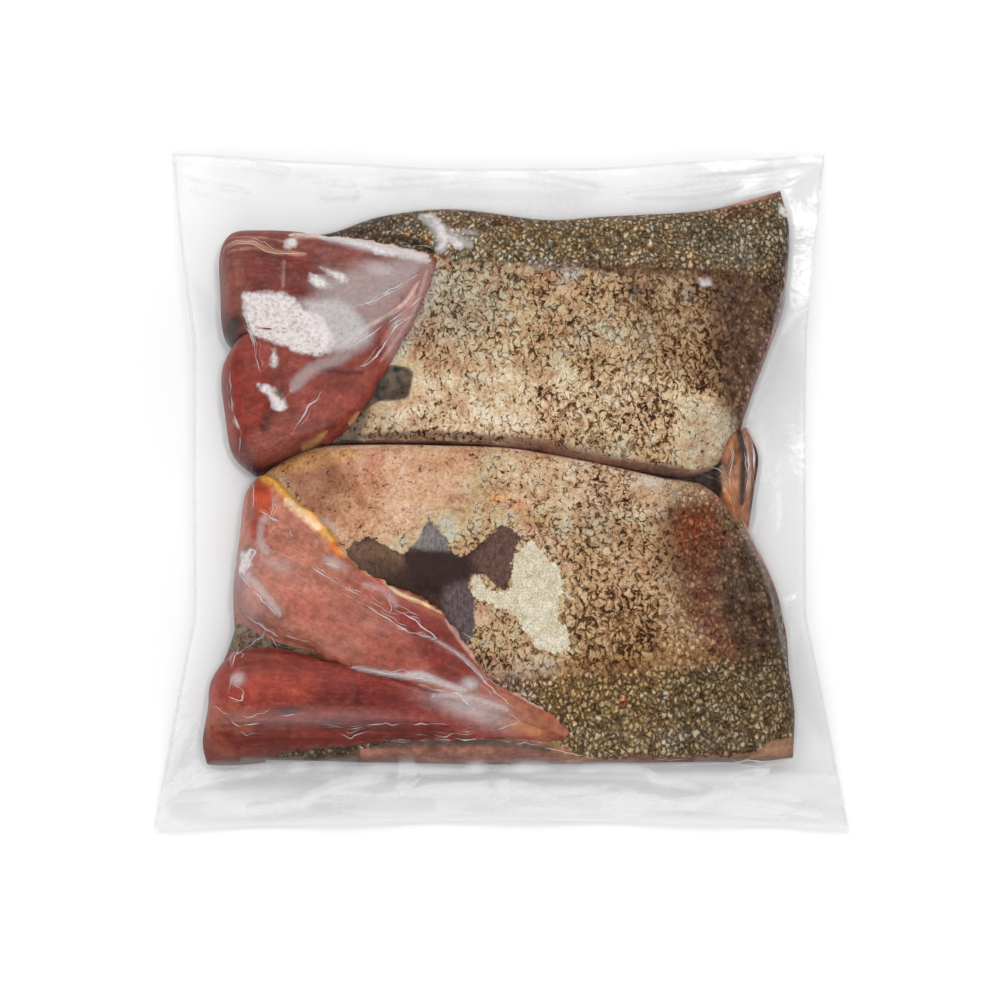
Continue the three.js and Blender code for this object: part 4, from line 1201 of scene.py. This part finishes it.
def fish_skin(settings):
    """Raw scaled fish skin: mottled tan, cracked dark between lumpy scales, finely pebbled on the back,
    with painted highlights and shade.
    """
    material, add, mm = new_material("raw_fish_skin")
    region = add("Attribute", attribute_name="region")
    back, cracked, finer = add("SeparateColor", {"Color": region.outputs["Color"]}).outputs
    tint = add("Attribute", attribute_name="tint")
    torn = add("Attribute", attribute_name="torn").outputs["Fac"]
    bare = add("Attribute", attribute_name="bare").outputs["Fac"]

    # noises from 16 mm across down to about 1 mm; scales here are cells for each millimetre
    broad = add("TexNoise", {"Vector": mm, "Scale": 1 / 16, "Detail": 2.0})
    patchy = add("TexNoise", {"Vector": mm, "Scale": 1 / 5, "Detail": 4.0, "Roughness": 0.7})
    broken = add("TexNoise", {"Vector": mm, "Scale": 1 / 2, "Detail": 2.0, "Roughness": 0.6})
    fine = add("TexNoise", {"Vector": mm, "Scale": 0.8, "Detail": 2.0, "Roughness": 0.6})
    flecks = add("TexNoise", {"Vector": mm, "Scale": 1 / 5, "Detail": 2.0, "Roughness": 0.6})

    # scales stand in uneven rows across the fish: narrow along it, and pushed about by noise
    push = add("TexNoise", {"Vector": mm, "Scale": 1 / 5, "Detail": 1.0})
    nudge = add("TexNoise", {"Vector": mm, "Scale": 0.55, "Detail": 2.0, "Roughness": 0.6})
    pushed = add("VectorMath", [push.outputs["Color"], (6, 6, 0), mm], operation="MULTIPLY_ADD")
    pushed = add("VectorMath", [nudge.outputs["Color"], (2.2, 2.2, 0), pushed], operation="MULTIPLY_ADD")
    rows = add("VectorMath", [pushed, (1.2, 0.8, 0.2)], operation="MULTIPLY")
    side_scale, back_scale = MM / settings.scale_size, MM / settings.back_scale_size
    scales = add("TexVoronoi", {"Vector": rows, "Scale": side_scale})
    gap = add("TexVoronoi", {"Vector": rows, "Scale": side_scale}, feature="DISTANCE_TO_EDGE")

    # the back's small scales, drawn a little coarser than real ones, which would not show
    pebbles = add("VectorMath", [nudge.outputs["Color"], (3.0, 2.2, 0), mm], operation="MULTIPLY_ADD")
    pebbles = add("VectorMath", [pebbles, (1.15, 0.8, 0.4)], operation="MULTIPLY")
    small = add("TexVoronoi", {"Vector": pebbles, "Scale": back_scale})
    small_gap = add("TexVoronoi", {"Vector": pebbles, "Scale": back_scale}, feature="DISTANCE_TO_EDGE")
    chance = add("SeparateColor", {"Color": small.outputs["Color"]})

    # painted shade: each scale's crack is widest at its free edge, towards the tail and the belly, as if
    # that edge cast a shadow
    from_middle = add("VectorMath", [rows, scales.outputs["Position"]], operation="SUBTRACT")
    toward_edge = (0.8 * side_scale, 0.5 * side_scale, 0)
    lean = add("VectorMath", [from_middle, toward_edge], operation="DOT_PRODUCT")
    free = add("MapRange", [lean, -0.25, 0.3, 0.06, 1.0])

    # cracks open where two noises allow, so that they break into dashes
    allowed = add("Math", [broken, 1.2, patchy], operation="MULTIPLY_ADD")
    allowed = add("Math", [cracked, 0.42, allowed], operation="MULTIPLY_ADD")
    width = add("MapRange", [allowed, 1.31, 1.58, 0.0, 0.55])
    width = add("Math", [width, free, 0.003], operation="MULTIPLY_ADD")
    crack = add("MapRange", [gap, 0.0, width], interpolation_type="SMOOTHSTEP")
    blots = add("TexNoise", {"Vector": rows, "Scale": 0.36, "Detail": 4.0, "Roughness": 0.72})
    blots = add("Math", [cracked, -0.14, blots], operation="MULTIPLY_ADD")
    blots = add("MapRange", [blots, 0.27, 0.39, 0.2, 1.0], interpolation_type="SMOOTHSTEP")
    painted_scale_highlight = add("MapRange", [scales.outputs["Distance"], 0.1, 0.75, 1.0, 0.0])
    scale_top = add("Math", [crack, blots], operation="MULTIPLY")
    small_width = add("MapRange", [broken, 0.3, 0.7, 0.2, 0.5])
    small_top = add("MapRange", [small_gap, 0.02, small_width], interpolation_type="SMOOTHSTEP")

    # a place's paleness adds noises, paler scale tops against darker cracks, and a painted highlight in
    # each scale's middle
    side_level = add("Math", [fine, 0.6], operation="MULTIPLY")
    side_level = add("Math", [scale_top, 0.55, side_level], operation="MULTIPLY_ADD")
    side_level = add("Math", [patchy, 0.7, side_level], operation="MULTIPLY_ADD")
    side_level = add("Math", [painted_scale_highlight, 0.12, side_level], operation="MULTIPLY_ADD")
    side_level = add("Math", [broad, 0.7, side_level], operation="MULTIPLY_ADD")
    side_level = add("MapRange", [side_level, 0.94, 1.88])
    side = add("ValToRGB", {"Fac": side_level}, stops=[
        (0.0, "2a1a0e"), (0.12, "4c331c"), (0.26, "86623f"), (0.4, "ad875e"), (0.56, "c6a680"),
        (0.74, "d8c19c"), (0.95, "e9dcbe"),
    ])
    small_top = add("Math", [small_top, blots], operation="MULTIPLY")
    small_level = add("Math", [chance, 0.3, fine], operation="MULTIPLY_ADD")
    small_level = add("Math", [small_top, 0.62, small_level], operation="MULTIPLY_ADD")
    small_level = add("MapRange", [small_level, 0.2, 1.52])
    back_colour = add("ValToRGB", {"Fac": small_level}, stops=[
        (0.05, "120e08"), (0.22, "3a2d1d"), (0.4, "6a563a"), (0.58, "97835d"), (0.75, "bbaa81"),
        (0.95, "e6dcba"),
    ])

    # broad patches of pink, sand, grey and green, then the marks, which colour the texture
    varied = add("Mix", {"Factor": 0.65, "A": broad, "B": flecks}, data_type="FLOAT")
    side_hue = add("ValToRGB", {"Fac": varied}, stops=[
        (0.36, "bf977b"), (0.44, "c09e7a"), (0.51, "bfa278"), (0.58, "b6a182"), (0.66, "ac9c84"),
    ])
    back_hue = add("ValToRGB", {"Fac": flecks}, stops=[
        (0.3, "8a6a46"), (0.42, "967f5a"), (0.52, "9d8c6b"), (0.62, "968e78"), (0.72, "8c8980"),
    ])
    is_back = add("Math", [patchy, 0.8, back], operation="MULTIPLY_ADD")
    is_back = add("MapRange", [is_back, 0.7, 1.1])
    is_fine = add("Math", [finer, 0.75], operation="MULTIPLY")
    is_fine = add("Math", [is_back, is_fine], operation="MAXIMUM")
    texture = add("Mix", {"Factor": is_fine, "A": side, "B": back_colour}, data_type="RGBA")
    usual = add("Mix", {"Factor": is_fine, "A": linear("d2b791"), "B": linear("a3946f")}, data_type="RGBA")
    texture = add("VectorMath", [texture, usual], operation="DIVIDE")
    hue = add("Mix", {"Factor": is_back, "A": side_hue, "B": back_hue}, data_type="RGBA")
    uneven = add("MapRange", [patchy, 0.35, 0.65, 0.7, 1.1])
    paint = add("Math", [tint.outputs["Alpha"], uneven], operation="MULTIPLY", use_clamp=True)
    hue = add("Mix", {"Factor": paint, "A": hue, "B": tint.outputs["Color"]}, data_type="RGBA")
    skin = add("VectorMath", [hue, texture], operation="MULTIPLY")
    # painted shade on the skin's low flanks
    skin = add("VectorMath", {0: skin, "Scale": painted_flank_shade(add, 7, 12.5)}, operation="SCALE")

    # two places without their scales: one torn down to dark tissue, one pale and finely beaded
    jagged = add("TexNoise", {"Vector": mm, "Scale": 1 / 5, "Detail": 4.0, "Roughness": 0.75})
    jitter = add("Math", [jagged, -0.5], operation="ADD")
    torn_edge = add("Math", [jitter, 8.0, torn], operation="MULTIPLY_ADD")
    bare_edge = add("Math", [jitter, 9.0, bare], operation="MULTIPLY_ADD")
    is_torn = add("MapRange", [torn_edge, -0.15, 0.2])
    is_bare = add("MapRange", [bare_edge, -0.2, 0.35])
    beads = add("VectorMath", [mm, (1.15, 0.8, 1.0)], operation="MULTIPLY")
    bead = add("TexVoronoi", {
        "Vector": beads, "Scale": 0.85, "Randomness": 0.85,
    }, feature="DISTANCE_TO_EDGE")
    bead_light = add("MapRange", [bead, 0.0, 0.22, 0.7, 1.0])
    cream = add("ValToRGB", {"Fac": patchy}, stops=[(0.3, "d6c4a4"), (0.5, "e6dabd"), (0.65, "f0e8d2")])
    cream = add("VectorMath", {0: cream, "Scale": bead_light}, operation="SCALE")
    threads = add("VectorMath", [mm, (1.2, 0.55, 1.0)], operation="MULTIPLY")
    fibre = add("TexNoise", {"Vector": threads, "Scale": 0.7, "Detail": 5.0, "Roughness": 0.75})
    wound = add("Attribute", attribute_name="wound")
    fibre_light = add("MapRange", [fibre, 0.3, 0.7, 0.3, 1.4])
    raw = add("VectorMath", {0: wound.outputs["Color"], "Scale": fibre_light}, operation="SCALE")
    colour = add("Mix", {"Factor": is_bare, "A": skin, "B": cream}, data_type="RGBA")
    colour = add("Mix", {"Factor": is_torn, "A": colour, "B": raw}, data_type="RGBA")

    # each scale is a low pebble, and the cracks are sunk between them
    height = add("Mix", {"Factor": is_fine, "A": scale_top, "B": small_top}, data_type="FLOAT")
    height = add("Math", [fine, 0.9, height], operation="MULTIPLY_ADD")
    relief = add("Bump", {"Height": height, "Strength": 0.8, "Distance": 0.5 * MM})
    surface = add("BsdfPrincipled", {
        "Base Color": colour, "Roughness": 0.5, "IOR": 1.4, "Specular IOR Level": 0.1, "Normal": relief,
    })
    add("OutputMaterial", {"Surface": surface})
    return material


def raw_flesh(name, pale):
    """Raw fish flesh: fine fibres along the muscle, thin pale threads between them, wet."""
    material, add, mm = new_material(name)
    grain = add("Attribute", attribute_name="grain").outputs["Vector"]
    tint = add("Attribute", attribute_name="tint")
    bent = add("TexNoise", {"Vector": mm, "Scale": 1 / 12, "Detail": 2.0})
    bent = add("VectorMath", [bent.outputs["Color"], (0, 9, 0), grain], operation="MULTIPLY_ADD")
    along = add("VectorMath", [bent, (0.07, 0.8, 0.5)], operation="MULTIPLY")
    fibres = add("TexNoise", {"Vector": along, "Scale": 1.0, "Detail": 5.0, "Roughness": 0.65})
    clouds = add("TexNoise", {"Vector": mm, "Scale": 1 / 13, "Detail": 4.0, "Roughness": 0.6})
    spots = add("TexNoise", {"Vector": mm, "Scale": 1 / 3, "Detail": 5.0, "Roughness": 0.75})
    meat = add("ValToRGB", {"Fac": clouds}, stops=[(0.3, "804c40"), (0.5, "95604f"), (0.7, "ab7a66")])
    if pale:
        # below, the muscle blocks meet in pale zigzag lines, which the sides do not show
        zigzag = add("TexWave", {"Vector": grain, "Scale": 0.04, "Distortion": 5.0, "Detail Scale": 0.02})
        depth = add("SeparateXYZ", {"Vector": grain}).outputs["Z"]
        below = add("MapRange", [depth, 2.0, 4.0, 0.45, 0.0])
        lines = add("MapRange", [zigzag.outputs["Fac"], 0.85, 1.0])
        lines = add("Math", [lines, below], operation="MULTIPLY")
        meat = add("Mix", {"Factor": lines, "A": meat, "B": linear("cda893")}, data_type="RGBA")
    paint, strength = tint.outputs["Color"], tint.outputs["Alpha"]
    meat = add("Mix", {"Factor": strength, "A": meat, "B": paint}, data_type="RGBA")
    light = add("MapRange", [fibres, 0.35, 0.65, 0.86, 1.14])
    cloud = add("MapRange", [clouds, 0.3, 0.7, 0.68, 1.28])
    spotty = add("MapRange", [spots, 0.3, 0.7, 0.64, 1.36])
    light = add("Math", [light, cloud], operation="MULTIPLY")
    light = add("Math", [light, spotty], operation="MULTIPLY")
    # painted shade on the flesh's low sides
    light = add("Math", [light, painted_flank_shade(add, 9, 14 if pale else 22)], operation="MULTIPLY")
    lit = add("VectorMath", {0: meat, "Scale": light}, operation="SCALE")
    thread = add("Math", [fibres, 0.56], operation="SUBTRACT")
    thread = add("Math", [thread], operation="ABSOLUTE")
    thread = add("MapRange", [thread, 0.0, 0.012, 0.28, 0.0])
    some = add("MapRange", [spots, 0.45, 0.6])
    thread = add("Math", [thread, some], operation="MULTIPLY")
    lit = add("Mix", {"Factor": thread, "A": lit, "B": linear("d4ac9c")}, data_type="RGBA")
    relief = add("Bump", {"Height": fibres, "Strength": 0.4, "Distance": 0.4 * MM})
    surface = add("BsdfPrincipled", {
        "Base Color": lit, "Roughness": 0.4, "IOR": 1.4, "Specular IOR Level": 0.15, "Normal": relief,
    })
    add("OutputMaterial", {"Surface": surface})
    return material


def clear_film(settings):
    """Clear multilayer film: glossy, with painted grey shade in its tint, hazy in places, and with painted
    highlights, frosty and painted glare patches.
    """
    material, add, mm = new_material("clear_barrier_film")
    haze_and_glare = add("Attribute", attribute_name="haze_and_glare").outputs["Fac"]
    shade = add("Attribute", attribute_name="shade").outputs["Fac"]
    frost_and_glare = add("Attribute", attribute_name="frost_and_glare").outputs["Fac"]
    touching = add("Attribute", attribute_name="touching").outputs["Fac"]
    soft = add("TexNoise", {"Vector": mm, "Scale": 1 / 3.2, "Detail": 3.0, "Roughness": 0.55})
    speckle = add("TexNoise", {"Vector": mm, "Scale": 0.55, "Detail": 5.0, "Roughness": 0.72})
    crinkle = add("TexNoise", {"Vector": mm, "Scale": 1 / 9, "Detail": 4.0, "Roughness": 0.6})
    relief = add("Bump", {"Height": soft, "Strength": 0.4, "Distance": 0.4 * MM})

    # painted grey shade darkens the film's tint
    tinted = add("Mix", {"Factor": shade, "A": linear("fcfcfc"), "B": linear("e6e6e9")}, data_type="RGBA")
    clear = add("BsdfTransparent", {"Color": tinted})
    gloss = add("BsdfGlossy", {"Color": (1, 1, 1, 1), "Roughness": 0.16, "Normal": relief})
    reflecting = add("Fresnel", {"IOR": 1.6, "Normal": relief})
    reflecting = add("Math", [reflecting, 0.14], operation="MINIMUM")
    wetted = add("MapRange", {"Value": touching, "To Min": 1.0, "To Max": 0.1})
    reflecting = add("Math", [reflecting, wetted], operation="MULTIPLY")
    film = add("MixShader", {"Fac": reflecting, 1: clear, 2: gloss})

    # hazy places and painted highlights are broken by speckle and crossed by hair-fine white crinkle
    # lines, also painted highlights
    broken = add("MapRange", [speckle, 0.3, 0.65, 0.72, 1.12])
    broken = add("Mix", {"Factor": touching, "A": 1.0, "B": broken}, data_type="FLOAT")
    hazy_and_glaring = add("Math", [haze_and_glare, broken], operation="MULTIPLY", use_clamp=True)
    slanted = add("VectorMath", [mm, (0.22, 0.3, 0.0)], operation="MULTIPLY")
    slanted = add("VectorRotate", {"Vector": slanted, "Angle": 0.5}, rotation_type="Z_AXIS")
    slanted = add("VectorMath", [slanted, (0.22, 1.0, 1.0)], operation="MULTIPLY")
    scratch = add("TexNoise", {"Vector": slanted, "Scale": 1.0, "Detail": 3.0, "Roughness": 0.6})
    line = add("Math", [scratch, 0.5], operation="SUBTRACT")
    line = add("Math", [line], operation="ABSOLUTE")
    line = add("MapRange", [line, 0.0, 0.008, 0.14, 0.0])
    lined = add("MapRange", [haze_and_glare, 0.004, 0.012])
    line = add("Math", [line, lined], operation="MULTIPLY")
    line = add("Math", [line, touching], operation="MULTIPLY")
    hazy_and_glaring = add("Math", [hazy_and_glaring, line], operation="MAXIMUM")
    hazy_and_glaring = add("Math", [hazy_and_glaring, settings.haze_and_glare], operation="MULTIPLY", use_clamp=True)
    white = add("BsdfDiffuse", {"Color": linear("f4f4f5")})
    through = add("BsdfTranslucent", {"Color": linear("f4f4f5")})
    white = add("MixShader", {"Fac": 0.4, 1: white, 2: through})
    film = add("MixShader", {"Fac": hazy_and_glaring, 1: film, 2: white})

    # frosty and painted glare patches have a torn, sharp edge and grey pits
    ragged = add("Math", [crinkle, -0.5], operation="ADD")
    ragged = add("Math", [ragged, 9.0, frost_and_glare], operation="MULTIPLY_ADD")
    frost_and_glare_cover = add("MapRange", [ragged, -0.8, 1.4, 0.0, 0.9])
    worn = add("MapRange", [speckle, 0.34, 0.52, 0.66, 1.0])
    frost_and_glare_cover = add("Math", [frost_and_glare_cover, worn], operation="MULTIPLY")
    pitted = add("ValToRGB", {"Fac": speckle}, stops=[
        (0.28, "c4b5b3"), (0.42, "dacfcd"), (0.62, "e8e1df"),
    ])
    frost_and_glare_white = add("BsdfDiffuse", {"Color": pitted})
    surface = add("MixShader", {"Fac": frost_and_glare_cover, 1: film, 2: frost_and_glare_white})
    add("OutputMaterial", {"Surface": surface})
    return material


def studio_floor(settings):
    """Matt white paper sweep with the faintest tooth."""
    material, add, mm = new_material("paper_sweep")
    tooth = add("TexNoise", {"Vector": mm, "Scale": 1 / 2, "Detail": 2.0})
    relief = add("Bump", {"Height": tooth, "Strength": 0.05, "Distance": 0.1 * MM})
    surface = add("BsdfDiffuse", {"Color": (*settings.floor_colour, 1.0), "Normal": relief})
    add("OutputMaterial", {"Surface": surface})
    return material


# Operators

made = {}


class POUCH_OT_fillets(bpy.types.Operator):
    """Add both fillets, skin up"""

    bl_idname = "pouch.fillets"
    bl_label = "Add fillets"

    def execute(self, context):
        settings = context.scene.pouch_settings
        made["skin"] = fish_skin(settings)
        made["pale_flesh"] = raw_flesh("pale_fish_flesh", pale=True)
        for mesh in (upper_fillet(), lower_fillet()):
            made[mesh.name] = add_piece(mesh, [made["skin"], made["pale_flesh"]])
        return {"FINISHED"}


class POUCH_OT_tails(bpy.types.Operator):
    """Fold both tails back over the fillets"""

    bl_idname = "pouch.tails"
    bl_label = "Add folded tails"

    def execute(self, context):
        if "upper_fillet" not in made:
            raise RuntimeError("add the fillets first")
        made["red_flesh"] = raw_flesh("red_fish_flesh", pale=False)
        lobes = [*upper_lobes(made["upper_fillet"]), *lower_lobes(made["lower_fillet"])]
        for mesh in lobes:
            made[mesh.name] = add_piece(mesh, [made["red_flesh"]])
        return {"FINISHED"}


class POUCH_OT_belly_strip(bpy.types.Operator):
    """Add the loose strip of belly between the thick ends"""

    bl_idname = "pouch.belly_strip"
    bl_label = "Add belly strip"

    def execute(self, context):
        made["belly_strip"] = add_piece(belly_strip(), [made["red_flesh"]])
        return {"FINISHED"}


class POUCH_OT_film(bpy.types.Operator):
    """Draw the two films onto the fish and onto each other"""

    bl_idname = "pouch.film"
    bl_label = "Add film"

    def execute(self, context):
        settings = context.scene.pouch_settings
        fish = [piece for piece in made.values() if isinstance(piece, bpy.types.Object)]
        material = clear_film(settings)
        columns = round(POUCH_WIDTH * MM / settings.film_step)
        rows = columns * HALF_LENGTH / HALF_WIDTH
        front = film_sheet("film_front", fish, columns, round(rows), upward=False)
        back = film_sheet("film_back", fish, columns // 2, round(rows / 2), upward=True)
        made["film_front"] = add_piece(front, [material])
        made["film_back"] = add_piece(back, [material])
        made["film_creases"] = add_piece(crease_ridges(made["film_front"]), [material])
        return {"FINISHED"}


CAMERA_ELEVATION = math.radians(75)
CAMERA_DISTANCE = 1300.0
CAMERA_AIM = Vector((0, -10.8, 10)) * MM
LENS = 105.6  # millimetres of a 36 mm wide frame
FLOOR_REACH = 3000.0
LAMP_DISTANCE = 1500.0
SURROUND = 0.67  # brightness of the room
# name, compass heading and height of the light in degrees, its spread, its strength
LAMPS = (("softbox", -35, 55, 50, 0.87), ("fill", 168, 46, 50, 0.92), ("lamp", 30, 58, 12, 0.2))


class POUCH_OT_stage(bpy.types.Operator):
    """Add the floor, the lights and the camera"""

    bl_idname = "pouch.stage"
    bl_label = "Add stage"

    def execute(self, context):
        scene = context.scene
        bm = bmesh.new()
        bmesh.ops.create_grid(bm, x_segments=2, y_segments=2, size=FLOOR_REACH * MM)
        mesh = bpy.data.meshes.new("floor")
        bm.to_mesh(mesh)
        bm.free()
        mesh.materials.append(studio_floor(scene.pouch_settings))
        floor = bpy.data.objects.new("floor", mesh)
        scene.collection.objects.link(floor)
        for name, heading, height, spread, power in LAMPS:
            lamp = bpy.data.lights.new(name, "SUN")
            lamp.energy, lamp.angle = power, math.radians(spread)
            holder = bpy.data.objects.new(name, lamp)
            heading, height = math.radians(heading), math.radians(height)
            level = math.cos(height)
            toward = Vector((math.sin(heading) * level, math.cos(heading) * level, math.sin(height)))
            holder.location = toward * LAMP_DISTANCE * MM
            holder.rotation_euler = toward.to_track_quat("Z", "Y").to_euler()
            scene.collection.objects.link(holder)
        world = bpy.data.worlds.new("studio")
        world.use_nodes = True
        world.node_tree.nodes["Background"].inputs["Color"].default_value = (1.0, 1.0, 1.0, 1.0)
        world.node_tree.nodes["Background"].inputs["Strength"].default_value = SURROUND
        scene.world = world
        camera = bpy.data.objects.new("camera", bpy.data.cameras.new("camera"))
        camera.data.lens = LENS
        away = Vector((0, -math.cos(CAMERA_ELEVATION), math.sin(CAMERA_ELEVATION)))
        camera.location = CAMERA_AIM + away * CAMERA_DISTANCE * MM
        camera.rotation_euler = (-away).to_track_quat("-Z", "Y").to_euler()
        camera.data.clip_end = 20
        scene.collection.objects.link(camera)
        scene.camera = camera
        scene.view_settings.view_transform = "Standard"
        return {"FINISHED"}


class POUCH_PT_panel(bpy.types.Panel):
    """Lists the steps that build the pouch"""

    bl_idname = "POUCH_PT_panel"
    bl_label = "Sealed pouch"
    bl_space_type = "VIEW_3D"
    bl_region_type = "UI"
    bl_category = "Pouch"

    def draw(self, context):
        settings = context.scene.pouch_settings
        for name in settings.bl_rna.properties.keys():
            if name not in ("rna_type", "name"):
                self.layout.prop(settings, name)
        for step in STEPS:
            self.layout.operator(step.bl_idname)


STEPS = (POUCH_OT_fillets, POUCH_OT_tails, POUCH_OT_belly_strip, POUCH_OT_film, POUCH_OT_stage)
CLASSES = (PouchSettings, *STEPS, POUCH_PT_panel)


def register():
    for cls in CLASSES:
        bpy.utils.register_class(cls)
    bpy.types.Scene.pouch_settings = bpy.props.PointerProperty(type=PouchSettings)


def unregister():
    del bpy.types.Scene.pouch_settings
    for cls in reversed(CLASSES):
        bpy.utils.unregister_class(cls)


def main():
    register()
    bpy.ops.pouch.fillets()
    bpy.ops.pouch.tails()
    bpy.ops.pouch.belly_strip()
    bpy.ops.pouch.film()
    bpy.ops.pouch.stage()


if __name__ == "__main__":
    main()
